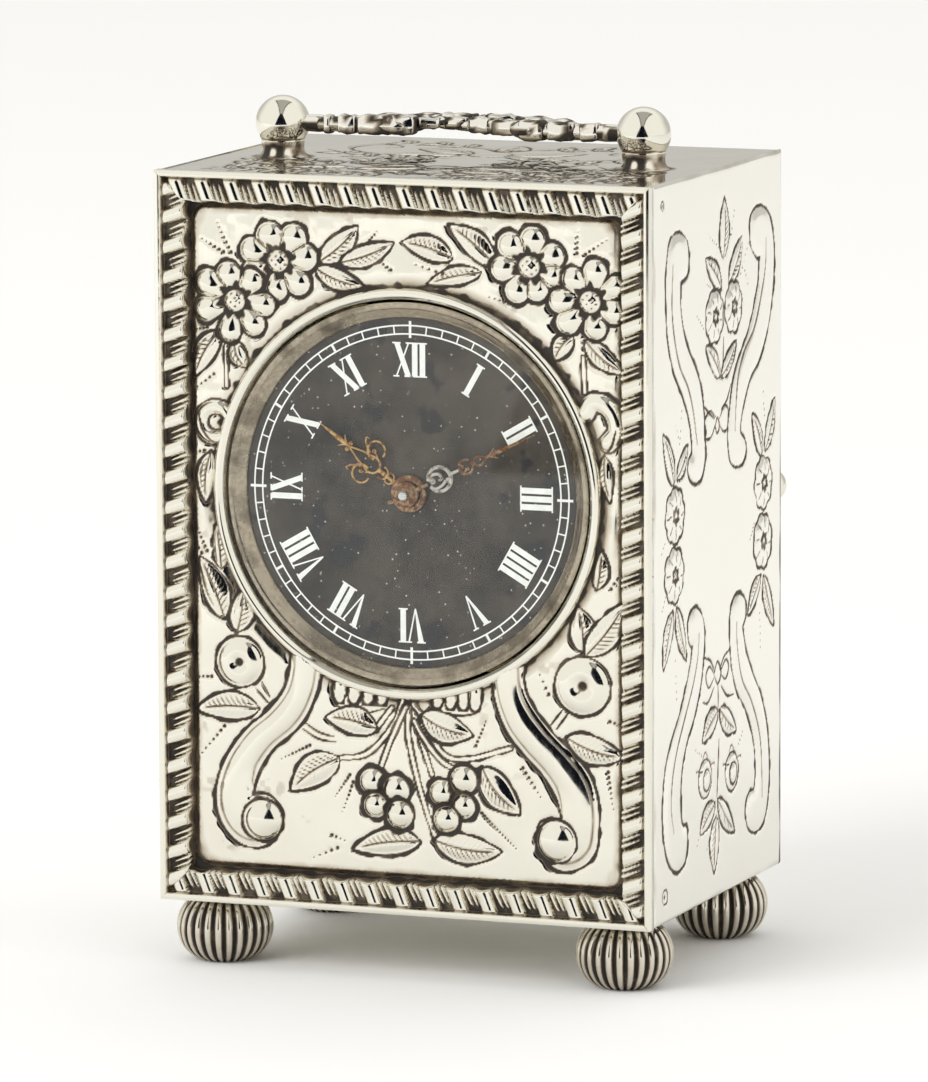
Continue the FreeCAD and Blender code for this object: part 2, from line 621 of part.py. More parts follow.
def back_plate():
    plate = rounded_slab(18.0, -20.5, 20.5, PLATE_B0, PLATE_B1, 2.5)
    holes = [rod((x * PILLAR_AT[0], z * PILLAR_AT[1]), 0.7, PLATE_B0, PLATE_B1) for x in (-1, 1) for z in (-1, 1)]
    holes += [rod(at, 0.3 + RUN, PLATE_B0, PLATE_B1) for at in (INTER_AT, THIRD_AT, FOURTH_AT)]
    holes += [rod(CENTRE, ARBOR_R + RUN, PLATE_B0, PLATE_B1), rod(ESCAPE_AT, 0.8, PLATE_B0, PLATE_B1),
              rod(BARREL_AT, BARREL_ARBOR_R + RUN, PLATE_B0, PLATE_B1), rod(CLICK_AT, 0.5, PLATE_B0, PLATE_B1)]
    holes += [rod(at, 0.5, PLATE_B0, PLATE_B1) for at in PLATFORM_HOLES]
    holes.append(rod(click_spring_root(), 0.4, PLATE_B0, PLATE_B1))
    return drilled(plate, holes)


def pillars():
    made = []
    for x in (-1, 1):
        for z in (-1, 1):
            at = (x * PILLAR_AT[0], z * PILLAR_AT[1])
            body = turned(at, [(0, PLATE_F0), (0.8, PLATE_F0), (0.8, PLATE_F1), (1.7, PLATE_F1), (1.7, -12.4),
                               (1.1, -11.6), (1.1, 1.8), (1.7, 2.6), (1.7, PLATE_B0), (0, PLATE_B0)])
            made.append(body.cut(rod(at, 0.7, 0.4, PLATE_B0)))
    return Part.makeCompound(made)


def pillar_screws():
    return Part.makeCompound([cheese_screw((x * PILLAR_AT[0], z * PILLAR_AT[1]), 1.4, PLATE_B1, 0.7, 0.7,
                                           PLATE_B1 - 0.4) for x in (-1, 1) for z in (-1, 1)])


def minute_post():
    return turned(MINUTE_AT, [(0, PLATE_F1), (0.6, PLATE_F1), (0.6, -18.1), (0.95, -18.1), (0.95, -18.3), (0, -18.3)])


# ---------------------------------------------------------------- barrel and winding work

def barrel_drum():
    teeth = wheel(BARREL_AT, BARREL_TEETH, BARREL_MODULE, -11.9, -10.7, INTER_AT)
    wall = rod(BARREL_AT, BARREL_WALL_R, -11.9, -3.9)
    drum = joined(teeth, [wall]).cut(rod(BARREL_AT, BARREL_BORE_R, -10.9, -3.8))
    return drum.cut(rod(BARREL_AT, BARREL_ARBOR_R + RUN, -12, -10))


def barrel_cover():
    cover = rod(BARREL_AT, BARREL_BORE_R, -4.7, -3.9)
    return cover.cut(rod(BARREL_AT, BARREL_ARBOR_R + RUN, -5, -3))


def barrel_arbor():
    body = turned(BARREL_AT, [(0, -14.5), (1.0, -14.5), (1.0, -13.2), (BARREL_ARBOR_R, -13.2), (BARREL_ARBOR_R, -10.7),
                              (HUB_R, -10.7), (HUB_R, -4.9), (BARREL_ARBOR_R, -4.9), (BARREL_ARBOR_R, 5.0), (0, 5.0)])
    return joined(body, [square_bar(BARREL_AT, 1.8, 4.9, 12.4)])


def spiral_band(at, inner, outer, turns, thick, y0, y1, start=0.0):
    """Flat coiled strip."""
    count = int(turns * 16)
    edges = []
    rails = []
    for offset in (0.0, thick):
        rail = []
        for i in range(count + 1):
            share = i / count
            rail.append(polar(at, inner + offset + (outer - thick - inner) * share, start + turns * 2 * math.pi * share))
        rails.append(rail)
        spline = Part.BSplineCurve()
        spline.interpolate([point(x, y0, z + DIAL_Z) for x, z in rail])
        edges.append(spline.toShape())
    for end in (0, -1):
        (xa, za), (xb, zb) = rails[0][end], rails[1][end]
        edges.append(Part.makeLine(point(xa, y0, za + DIAL_Z), point(xb, y0, zb + DIAL_Z)))
    face = Part.Face(Part.Wire(Part.__sortEdges__(edges)))
    return face.extrude(point(0, y1 - y0, 0))


def mainspring():
    return spiral_band(BARREL_AT, 2.9, 7.8, 7.0, 0.3, -10.6, -5.0)


def ratchet_wheel():
    outline = []
    count = 24
    for i in range(count):
        start = 2.0 * math.pi * i / count
        outline.append(polar(BARREL_AT, 3.75, start))
        outline.append(polar(BARREL_AT, 4.3, start + 0.02))
    blank = prism(outline, 5.0, 5.8)
    return blank.cut(square_bar(BARREL_AT, 1.8, 4.5, 6.5))


def click():
    nose = polar(BARREL_AT, 4.38, math.radians(125.0))
    way = heading(nose, CLICK_AT)
    side = way + math.pi / 2
    wide = polar(nose, 1.4, way)
    arm = prism([nose, polar(wide, 0.4, side), polar(CLICK_AT, 0.9, side),
                 polar(CLICK_AT, -0.9, side), polar(wide, -0.5, side)], 5.0, 5.7)
    body = joined(arm, [rod(CLICK_AT, 1.1, 5.0, 5.7)])
    return body.cut(rod(CLICK_AT, 0.5 + RUN, 4.9, 5.9))


def click_screw():
    head = rod(CLICK_AT, 0.9, 5.8, 6.3)
    shank = rod(CLICK_AT, 0.5, PLATE_B0, 5.8)
    z = CLICK_AT[1] + DIAL_Z
    slot = box(CLICK_AT[0] - 1, CLICK_AT[0] + 1, 6.1, 6.4, z - 0.13, z + 0.13)
    return joined(head, [shank]).cut(slot)


def click_spring_root():
    return (CLICK_AT[0] - 4.5, CLICK_AT[1] + 4.6)


def click_spring():
    root = click_spring_root()
    nose = polar(BARREL_AT, 4.38, math.radians(125.0))
    way = heading(CLICK_AT, nose)
    tip = polar(polar(CLICK_AT, 1.1, way), 1.35, way + math.pi / 2)
    blade = bar_between(root, tip, 0.28, 0.15, 5.0, 5.5)
    pad = rod(root, 1.0, PLATE_B1, 5.5)
    pin = rod(root, 0.4, PLATE_B0, PLATE_B1)
    return joined(pad, [blade, pin])


# ---------------------------------------------------------------- wheels

def arbor(at, radius, pivot, y0, y1):
    """Arbor between the plates with a pivot at each end."""
    return turned(at, [(0, y0), (pivot, y0), (pivot, y0 + 1.3), (radius, y0 + 1.3), (radius, y1 - 1.3),
                       (pivot, y1 - 1.3), (pivot, y1), (0, y1)])


def centre_arbor():
    """Hand-setting arbor: carries the cannon pinion and runs inside the centre wheel's pipe."""
    steel = turned(CENTRE, [(0, -22.0), (0.4, -22.0), (ARBOR_R, -21.85), (ARBOR_R, -13.2), (0.7, -13.2), (0.7, 3.4),
                            (ARBOR_R, 3.4), (ARBOR_R, 6.2), (0, 6.2)])
    return joined(steel, [square_bar(CENTRE, 0.76, 6.1, 8.8)])


def centre_wheel():
    """Wheel, pipe and front pinion in one, loose on the hand-setting arbor."""
    y0, y1 = -3.0, -2.3
    rim = wheel(CENTRE, CENTRE_TEETH, CENTRE_MODULE, y0, y1, THIRD_AT)
    rim = crossed_out(rim, CENTRE, 1.9, 5.9, 4, y0, y1)
    leaves = pinion(CENTRE, CENTRE_PINION, INTER_MODULE, -13.2, -12.2, INTER_AT)
    pipe = rod(CENTRE, 1.1, -12.25, -1.7)
    hub = rod(CENTRE, 1.3, -3.6, -1.7)
    return joined(rim, [leaves, pipe, hub]).cut(rod(CENTRE, 0.7 + RUN, -14, -1))


def cannon_pinion():
    leaves = pinion(CENTRE, CANNON_TEETH, CANNON_MODULE, -16.9, -15.0, MINUTE_AT)
    pipe = rod(CENTRE, CANNON_R, -20.85, -14.9)
    return joined(leaves, [pipe]).cut(rod(CENTRE, ARBOR_R, -21, -14))


def hour_wheel():
    rim = wheel(CENTRE, HOUR_TEETH, HOUR_MODULE, -17.9, -17.2, MINUTE_AT)
    pipe = rod(CENTRE, HOUR_PIPE_R, -20.05, -17.2)
    return joined(rim, [pipe]).cut(rod(CENTRE, CANNON_R + 0.08, -21, -17))


def minute_wheel():
    rim = wheel(MINUTE_AT, MINUTE_TEETH, CANNON_MODULE, -16.5, -15.8, CENTRE)
    leaves = pinion(MINUTE_AT, MINUTE_PINION, HOUR_MODULE, -18.0, -16.5, CENTRE)
    return joined(rim, [leaves]).cut(rod(MINUTE_AT, 0.6 + RUN, -19, -15))


def intermediate_wheel():
    steel = arbor(INTER_AT, 0.5, 0.3, -14.5, 4.7)
    leaves = pinion(INTER_AT, INTER_PINION, BARREL_MODULE, -12.3, -10.3, BARREL_AT)
    rim = wheel(INTER_AT, INTER_TEETH, INTER_MODULE, -13.1, -12.3, CENTRE)
    rim = crossed_out(rim, INTER_AT, 1.9, 5.9, 4, -13.1, -12.3)
    return joined(steel, [leaves, rim])


def third_wheel():
    steel = arbor(THIRD_AT, 0.5, 0.3, -14.5, 4.7)
    leaves = pinion(THIRD_AT, THIRD_PINION, CENTRE_MODULE, -3.4, -1.6, CENTRE)
    rim = wheel(THIRD_AT, THIRD_TEETH, THIRD_MODULE, -0.6, 0.1, FOURTH_AT)
    rim = crossed_out(rim, THIRD_AT, 1.6, 5.3, 4, -0.6, 0.1)
    return joined(steel, [leaves, rim])


def fourth_wheel():
    steel = arbor(FOURTH_AT, 0.45, 0.3, -14.5, 4.7)
    leaves = pinion(FOURTH_AT, FOURTH_PINION, THIRD_MODULE, -1.1, 0.7, THIRD_AT)
    rim = wheel(FOURTH_AT, FOURTH_TEETH, FOURTH_MODULE, 1.6, 2.2, ESCAPE_AT)
    rim = crossed_out(rim, FOURTH_AT, 1.4, 4.9, 4, 1.6, 2.2)
    return joined(steel, [leaves, rim])


# ---------------------------------------------------------------- platform escapement

def escape_wheel():
    outline = []
    count = 15
    step = 2.0 * math.pi / count
    for i in range(count):
        start = i * step
        outline.append(polar(ESCAPE_AT, 2.55, start - 0.2))
        outline.append(polar(ESCAPE_AT, 2.55, start + 0.02))
        outline.append(polar(ESCAPE_AT, ESCAPE_R, start + 0.1))
        outline.append(polar(ESCAPE_AT, ESCAPE_R - 0.12, start + 0.17))
        outline.append(polar(ESCAPE_AT, 2.7, start + 0.1))
    rim = prism(outline, 6.5, 6.9)
    rim = crossed_out(rim, ESCAPE_AT, 0.8, 2.2, 4, 6.5, 6.9)
    steel = turned(ESCAPE_AT, [(0, 0.5), (0.15, 0.5), (0.15, 1.1), (0.3, 1.1), (0.3, 7.5), (0.15, 7.5), (0.15, 8.2),
                               (0, 8.2)])
    leaves = pinion(ESCAPE_AT, ESCAPE_PINION, FOURTH_MODULE, 1.3, 2.7, FOURTH_AT)
    return joined(rim, [steel, leaves])


def escape_potence():
    foot_at = polar(ESCAPE_AT, 3.0, math.radians(200.0))
    plate = bar_between(foot_at, ESCAPE_AT, 0.9, 0.6, 0.4, 1.0)
    column = rod(foot_at, 0.9, 0.4, PLATE_B0)
    return joined(plate, [column]).cut(rod(ESCAPE_AT, 0.15 + RUN, 0, 1.5))


def platform():
    plate = box(-13.0, 9.5, PLATE_B1, PLATFORM_TOP, 2.0 + DIAL_Z, 17.4 + DIAL_Z)
    corners = [e for e in plate.Edges if abs(e.Vertexes[0].Y - e.Vertexes[1].Y) > 0.1]
    plate = plate.makeFillet(1.0, corners)
    banks = []
    for side in (-1, 1):
        middle = polar(PALLET_AT, 2.8, LEVER_LINE)
        banks.append(rod(polar(middle, side * 0.85, LEVER_LINE + math.pi / 2), 0.2, PLATFORM_TOP, 7.0))
    holes = [rod(ESCAPE_AT, 0.8, 4, 6), rod(PALLET_AT, 0.15 + RUN, 4, 6), rod(BALANCE_AT, 0.15 + RUN, 4, 6),
             rod(ESCAPE_FOOT, 0.4, 4, 6), rod(BALANCE_FOOT, 0.45, 4, 6)]
    holes += [rod(at, 0.5, 4, 6) for at in PLATFORM_HOLES]
    return drilled(joined(plate, banks), holes)


def platform_screws():
    return Part.makeCompound([cheese_screw(at, 0.9, PLATFORM_TOP, 0.5, 0.5, PLATFORM_TOP - PLATE_B0)
                              for at in PLATFORM_HOLES])


def pallet_lever():
    arm = bar_between(PALLET_AT, polar(PALLET_AT, 3.6, LEVER_LINE), 0.5, 0.3, 6.6, 7.0)
    parts = []
    end = polar(PALLET_AT, 3.5, LEVER_LINE)
    for side in (-1, 1):
        across = LEVER_LINE + side * math.pi / 2
        parts.append(bar_between(end, polar(polar(PALLET_AT, 4.25, LEVER_LINE), 0.42, across), 0.3, 0.16, 6.6, 7.0))
        tip = polar(ESCAPE_AT, ESCAPE_R + 0.32, LEVER_LINE + side * math.radians(35.0))
        elbow = polar(ESCAPE_AT, ESCAPE_R + 1.35, LEVER_LINE + side * math.radians(27.0))
        parts.append(bar_between(PALLET_AT, elbow, 0.5, 0.3, 6.6, 7.0))
        parts.append(bar_between(elbow, tip, 0.3, 0.1, 6.6, 7.0))
    parts.append(turned(PALLET_AT, [(0, 5.0), (0.15, 5.0), (0.15, 6.0), (0.3, 6.0), (0.3, 7.5), (0.15, 7.5),
                                    (0.15, 8.2), (0, 8.2)]))
    return joined(arm, parts)


def escape_cock():
    plate = bar_between(ESCAPE_FOOT, ESCAPE_AT, 1.1, 0.8, 7.7, 8.3)
    reach = bar_between(ESCAPE_AT, PALLET_AT, 0.8, 0.7, 7.7, 8.3)
    column = rod(ESCAPE_FOOT, 1.1, PLATFORM_TOP, 8.3)
    holes = [rod(ESCAPE_AT, 0.15 + RUN, 7, 9), rod(PALLET_AT, 0.15 + RUN, 7, 9), rod(ESCAPE_FOOT, 0.4, 5, 9)]
    return drilled(joined(plate, [reach, column]), holes)


def balance_wheel():
    y0, y1 = 8.7, 9.4
    rim = rod(BALANCE_AT, BALANCE_R, y0, y1).cut(rod(BALANCE_AT, BALANCE_R - 0.6, y0, y1))
    arm = bar_between(polar(BALANCE_AT, BALANCE_R - 0.4, 0.6), polar(BALANCE_AT, BALANCE_R - 0.4, 0.6 + math.pi),
                      0.35, 0.35, y0 + 0.1, y1 - 0.1)
    staff = turned(BALANCE_AT, [(0, 5.2), (0.15, 5.2), (0.15, 6.1), (0.35, 6.1), (0.35, 7.3), (1.5, 7.3), (1.5, 7.6),
                                (0.35, 7.6), (0.35, 8.6), (0.8, 8.6), (0.8, 9.5), (0.35, 9.5), (0.35, 10.0),
                                (0.6, 10.0), (0.6, 10.5), (0.35, 10.5), (0.35, 10.8), (0.15, 10.8), (0.15, 11.5),
                                (0, 11.5)])
    pin = rod(polar(BALANCE_AT, 1.05, LEVER_LINE + math.pi), 0.15, 7.1, 7.4)
    screws = []
    for i in range(12):
        way = 0.6 + math.pi / 12 + i * math.pi / 6
        start = polar(BALANCE_AT, BALANCE_R - 0.2, way)
        screws.append(Part.makeCylinder(0.24, 0.55, point(start[0], (y0 + y1) / 2, start[1] + DIAL_Z),
                                        point(math.cos(way), 0, math.sin(way))))
    return joined(rim, [arm, staff, pin] + screws)


def hairspring():
    return spiral_band(BALANCE_AT, 0.7, 2.6, 6.0, 0.09, 10.1, 10.4, math.radians(-20.0))


def balance_cock():
    plate = bar_between(BALANCE_FOOT, BALANCE_AT, 1.4, 1.5, 11.0, 11.8)
    column = rod(BALANCE_FOOT, 1.4, PLATFORM_TOP, 11.0)
    boss = rod(BALANCE_AT, 0.7, 11.8, 12.15)
    stud = rod(polar(BALANCE_AT, 2.75, math.radians(-20.0)), 0.2, 10.0, 11.0)
    holes = [rod(BALANCE_AT, 0.15 + RUN, 10, 11.7), rod(BALANCE_FOOT, 0.45, 5, 12)]
    return drilled(joined(plate, [column, boss, stud]), holes)


def regulator_index():
    ring = rod(BALANCE_AT, 1.35, 11.85, 12.1)
    tail = bar_between(BALANCE_AT, polar(BALANCE_AT, 4.6, math.radians(150.0)), 0.45, 0.2, 11.85, 12.1)
    return joined(ring, [tail]).cut(rod(BALANCE_AT, 0.7 + RUN, 11, 13))


def cock_screws():
    return Part.makeCompound([cheese_screw(ESCAPE_FOOT, 0.8, 8.3, 0.45, 0.4, 8.3 - PLATE_B1),
                              cheese_screw(BALANCE_FOOT, 0.95, 11.8, 0.5, 0.45, 11.8 - PLATE_B1)])


# ---------------------------------------------------------------- writing out

NODES = {
    "case_body": case_body,
    "front_panel": front_panel,
    "gadroon_border": gadroon_border,
    "bezel": bezel,
    "dial_glass": dial_glass,
    "reflector_ring": reflector_ring,
    "dial": dial,
    "hour_hand": hour_hand,
    "minute_hand": minute_hand,
    "hand_collet": hand_collet,
    "left_finial": lambda: finial(-1),
    "right_finial": lambda: finial(1),
    "finial_nuts": finial_nuts,
    "handle": handle,
    "foot_front_left": lambda: foot(-1, -1),
    "foot_front_right": lambda: foot(1, -1),
    "foot_back_left": lambda: foot(-1, 1),
    "foot_back_right": lambda: foot(1, 1),
    "foot_screws": foot_screws,
    "back_door": back_door,
    "door_knob": door_knob,
    "case_hinge_knuckles": case_hinge,
    "door_hinge_knuckles": door_hinge,
    "hinge_pin": hinge_pin,
    "catch_spring": catch_spring,
    "catch_tongue": catch_tongue,
    "movement_posts": movement_posts,
    "movement_screws": movement_screws,
    "front_plate": front_plate,
    "back_plate": back_plate,
    "pillars": pillars,
    "pillar_screws": pillar_screws,
    "minute_wheel_post": minute_post,
    "barrel_drum": barrel_drum,
    "barrel_cover": barrel_cover,
    "barrel_arbor": barrel_arbor,
    "mainspring": mainspring,
    "ratchet_wheel": ratchet_wheel,
    "click": click,
    "click_screw": click_screw,
    "click_spring": click_spring,
    "centre_arbor": centre_arbor,
    "centre_wheel": centre_wheel,
    "cannon_pinion": cannon_pinion,
    "hour_wheel": hour_wheel,
    "minute_wheel": minute_wheel,
    "intermediate_wheel": intermediate_wheel,
    "third_wheel": third_wheel,
    "fourth_wheel": fourth_wheel,
    "escape_wheel": escape_wheel,
    "escape_potence": escape_potence,
    "platform": platform,
    "platform_screws": platform_screws,
    "pallet_lever": pallet_lever,
    "escape_cock": escape_cock,
    "balance_wheel": balance_wheel,
    "hairspring": hairspring,
    "balance_cock": balance_cock,
    "regulator_index": regulator_index,
    "cock_screws": cock_screws,
}

os.makedirs("parts", exist_ok=True)
for name, make in NODES.items():
    shape = make()
    shape.translate(point(0, CASE_SHIFT, 0))
    shape.exportStep(os.path.join("parts", name + ".step"))
    print(name, len(shape.Solids), "solids", "valid" if shape.isValid() else "NOT VALID", round(shape.Volume, 2))
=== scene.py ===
"""Looks of a small silver carriage clock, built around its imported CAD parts."""
import json
import math

import bpy
import numpy as np
from mathutils import Matrix, Vector
from mathutils.geometry import tessellate_polygon


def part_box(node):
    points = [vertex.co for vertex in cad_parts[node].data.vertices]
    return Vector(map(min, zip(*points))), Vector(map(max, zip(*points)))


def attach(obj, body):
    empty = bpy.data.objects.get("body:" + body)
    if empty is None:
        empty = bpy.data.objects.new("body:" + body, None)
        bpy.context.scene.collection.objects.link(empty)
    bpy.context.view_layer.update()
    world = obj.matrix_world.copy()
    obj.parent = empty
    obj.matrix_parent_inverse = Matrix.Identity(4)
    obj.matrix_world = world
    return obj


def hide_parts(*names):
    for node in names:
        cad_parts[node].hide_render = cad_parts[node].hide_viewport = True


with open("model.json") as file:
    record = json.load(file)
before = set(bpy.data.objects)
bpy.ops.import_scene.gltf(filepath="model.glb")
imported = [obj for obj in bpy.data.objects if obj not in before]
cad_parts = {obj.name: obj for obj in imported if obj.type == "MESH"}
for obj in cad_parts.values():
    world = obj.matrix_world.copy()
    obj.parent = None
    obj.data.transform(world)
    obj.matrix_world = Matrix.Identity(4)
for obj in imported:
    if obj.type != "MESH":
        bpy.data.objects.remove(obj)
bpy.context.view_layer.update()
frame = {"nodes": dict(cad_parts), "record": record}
NODES = frame["nodes"]

MM = 0.001                       # every size below is in millimetres


def node_box(name):
    """Lowest and highest corner of a CAD node, in millimetres."""
    low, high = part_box(name)
    return np.array(low) / MM, np.array(high) / MM


# ---------------------------------------------------------------- places read from the frame

BORDER_LOW, BORDER_HIGH = node_box("gadroon_border")
BEZEL_LOW, BEZEL_HIGH = node_box("bezel")
CASE_HIGH = node_box("case_body")[1]
DIAL_LOW, DIAL_HIGH = node_box("dial")
DIAL_Z = 0.5 * (BEZEL_LOW[2] + BEZEL_HIGH[2])
FRONT_Y = BORDER_LOW[1]
HALF = BORDER_HIGH[0]
BASE_Z = BORDER_LOW[2]
TOP_Z = BORDER_HIGH[2]
BEZEL_R = BEZEL_HIGH[0]
SHIFT = FRONT_Y + 22.4           # from the case's own depth zero to the frame's
FACE_DIAL = DIAL_LOW[1]
FACE_BACK_EDGE, FACE_FRONT_EDGE = 22.35, -20.8      # ends of the side and top sheets, in case depth


# ---------------------------------------------------------------- small numeric helpers

def smooth(low, high, x):
    """Soft step from 0 at low to 1 at high."""
    t = np.clip((x - low) / (high - low), 0, 1)
    return t * t * (3 - 2 * t)


def bell(x, width):
    """Bell curve, 1 at zero."""
    return np.exp(-(x / width) ** 2)


def lattice_noise(a, b, scale, seed):
    """Smooth noise from -1 to 1 over a plane; scale is the size of its lumps."""
    size = 64
    table = np.random.default_rng(seed).uniform(-1, 1, (size, size))
    x, y = a / scale, b / scale
    i, j = np.floor(x).astype(int), np.floor(y).astype(int)
    fx, fy = x - i, y - j
    fx, fy = fx * fx * (3 - 2 * fx), fy * fy * (3 - 2 * fy)
    i0, i1, j0, j1 = i % size, (i + 1) % size, j % size, (j + 1) % size
    v00, v10, v01, v11 = table[i0, j0], table[i1, j0], table[i0, j1], table[i1, j1]
    return (v00 * (1 - fx) + v10 * fx) * (1 - fy) + (v01 * (1 - fx) + v11 * fx) * fy


def to_line(u, w, points):
    """Distance to a polyline, and how far along it the nearest point lies, from 0 to 1."""
    p = np.asarray(points, float)
    steps = np.diff(p, axis=0)
    lengths = np.hypot(steps[:, 0], steps[:, 1])
    total = lengths.sum()
    best = np.full(u.shape, 1e9)
    along = np.zeros(u.shape)
    done = 0.0
    for (a0, a1), (s0, s1), length in zip(p[:-1], steps, lengths):
        t = np.clip(((u - a0) * s0 + (w - a1) * s1) / max(length, 1e-9) ** 2, 0, 1)
        d = np.hypot(u - a0 - t * s0, w - a1 - t * s1)
        near = d < best
        best = np.where(near, d, best)
        along = np.where(near, (done + t * length) / total, along)
        done += length
    return best, along


def within(u, w, points):
    """True inside a closed polygon."""
    p = np.asarray(points, float)
    inside = np.zeros(u.shape, bool)
    for (a0, a1), (b0, b1) in zip(p, np.roll(p, -1, axis=0)):
        crosses = (a1 > w) != (b1 > w)
        at = a0 + (w - a1) * (b0 - a0) / (b1 - a1 if b1 != a1 else 1e-9)
        inside ^= crosses & (u < at)
    return inside


def curve(points, steps=8):
    """Catmull-Rom curve through points of any dimension."""
    p = np.asarray(points, float)
    p = np.vstack([2 * p[0] - p[1], p, 2 * p[-1] - p[-2]])
    out = []
    for k in range(1, len(p) - 2):
        for t in np.arange(steps) / steps:
            a, b, c, d = p[k - 1], p[k], p[k + 1], p[k + 2]
            out.append(0.5 * (2 * b + (c - a) * t + (2 * a - 5 * b + 4 * c - d) * t * t
                              + (3 * b - a - 3 * c + d) * t ** 3))
    out.append(p[-2])
    return np.array(out)


# ---------------------------------------------------------------- node materials
# Noise scales are lumps per metre, and bump distances are metres.

def new_material(name):
    """An empty node material, with its tree and its output node."""
    material = bpy.data.materials.new(name)
    material.use_nodes = True
    tree = material.node_tree
    tree.nodes.clear()
    out = tree.nodes.new("ShaderNodeOutputMaterial")
    return material, tree, out


def noise_node(tree, vector, scale, detail=4.0, rough=0.55):
    """Noise from 0 to 1, mostly near a half."""
    node = tree.nodes.new("ShaderNodeTexNoise")
    node.inputs["Scale"].default_value = scale
    node.inputs["Detail"].default_value = detail
    node.inputs["Roughness"].default_value = rough
    tree.links.new(vector, node.inputs["Vector"])
    return node.outputs["Fac"]


def ramp_node(tree, value, low, high, start=0.0, end=1.0):
    """Straight ramp from start at low to end at high, held outside them."""
    node = tree.nodes.new("ShaderNodeMapRange")
    node.inputs["From Min"].default_value = low
    node.inputs["From Max"].default_value = high
    node.inputs["To Min"].default_value = start
    node.inputs["To Max"].default_value = end
    tree.links.new(value, node.inputs["Value"])
    return node.outputs["Result"]


def math_node(tree, kind, first, second):
    """One operation on two terms, each a number or a socket."""
    node = tree.nodes.new("ShaderNodeMath")
    node.operation = kind
    for socket, value in zip(node.inputs, (first, second)):
        if isinstance(value, (int, float)):
            socket.default_value = value
        else:
            tree.links.new(value, socket)
    return node.outputs[0]


def mix_colour(tree, factor, first, second):
    """From the first colour at factor 0 to the second at 1; each is a triple or a socket."""
    node = tree.nodes.new("ShaderNodeMix")
    node.data_type = "RGBA"
    if isinstance(factor, (int, float)):
        node.inputs["Factor"].default_value = factor
    else:
        tree.links.new(factor, node.inputs["Factor"])
    for socket, value in ((node.inputs[6], first), (node.inputs[7], second)):
        if isinstance(value, tuple):
            socket.default_value = (*value, 1.0)
        else:
            tree.links.new(value, socket)
    return node.outputs[2]


def object_vector(tree, stretch=(1.0, 1.0, 1.0)):
    """Places on the piece itself, so that patterns move with it."""
    coords = tree.nodes.new("ShaderNodeTexCoord")
    mapping = tree.nodes.new("ShaderNodeMapping")
    mapping.inputs["Scale"].default_value = stretch
    tree.links.new(coords.outputs["Object"], mapping.inputs["Vector"])
    return mapping.outputs["Vector"]


def principled(tree, out):
    """The shader that every solid material uses."""
    shader = tree.nodes.new("ShaderNodeBsdfPrincipled")
    tree.links.new(shader.outputs["BSDF"], out.inputs["Surface"])
    return shader


def bumped(tree, shader, height, distance):
    """Let a pattern tilt the surface a little."""
    bump = tree.nodes.new("ShaderNodeBump")
    bump.inputs["Distance"].default_value = distance
    tree.links.new(height, bump.inputs["Height"])
    tree.links.new(bump.outputs["Normal"], shader.inputs["Normal"])


def silver_material(name, dents, tarnish, polish_and_painted_light=(0.82, 0.795, 0.705)):
    """Polished silver, slightly cream, darkened where its oxide_and_shade attribute says: patina left in its
    recesses, and painted shade where a piece lays it.
    """
    material, tree, out = new_material(name)
    shader = principled(tree, out)
    place = object_vector(tree)
    long_place = object_vector(tree, (1.0, 1.0, 0.12))
    oxide_and_shade_node = tree.nodes.new("ShaderNodeAttribute")
    oxide_and_shade_node.attribute_name = "oxide_and_shade"
    mottle = noise_node(tree, place, 420.0, 5.0)
    grime_and_shade = ramp_node(tree, mottle, 0.35, 0.75, -0.22, 0.22)
    uneven = math_node(tree, "MULTIPLY", grime_and_shade, oxide_and_shade_node.outputs["Fac"])
    dark = math_node(tree, "ADD", oxide_and_shade_node.outputs["Fac"], uneven)
    dark = ramp_node(tree, dark, 0.08, 0.85)
    film = ramp_node(tree, noise_node(tree, place, 90.0, 3.0), 0.5, 0.8, 0.0, tarnish)
    bright = mix_colour(tree, film, polish_and_painted_light, tuple(0.85 * c - 0.03 * k for k, c in enumerate(polish_and_painted_light)))
    warm = mix_colour(tree, ramp_node(tree, dark, 0.0, 0.55), bright, (0.42, 0.34, 0.25))
    colour = mix_colour(tree, ramp_node(tree, dark, 0.4, 1.0), warm, (0.030, 0.024, 0.019))
    tree.links.new(colour, shader.inputs["Base Color"])
    tree.links.new(ramp_node(tree, dark, 0.55, 1.0, 1.0, 0.15), shader.inputs["Metallic"])
    scratch = noise_node(tree, long_place, 2600.0, 2.0)
    fine = ramp_node(tree, scratch, 0.3, 0.75, 0.05, 0.15)
    rough = math_node(tree, "ADD", fine, ramp_node(tree, dark, 0.1, 1.0, 0.0, 0.5))
    tree.links.new(rough, shader.inputs["Roughness"])
    hammer = noise_node(tree, place, 170.0, 2.0)
    bumped(tree, shader, hammer, dents)
    return material


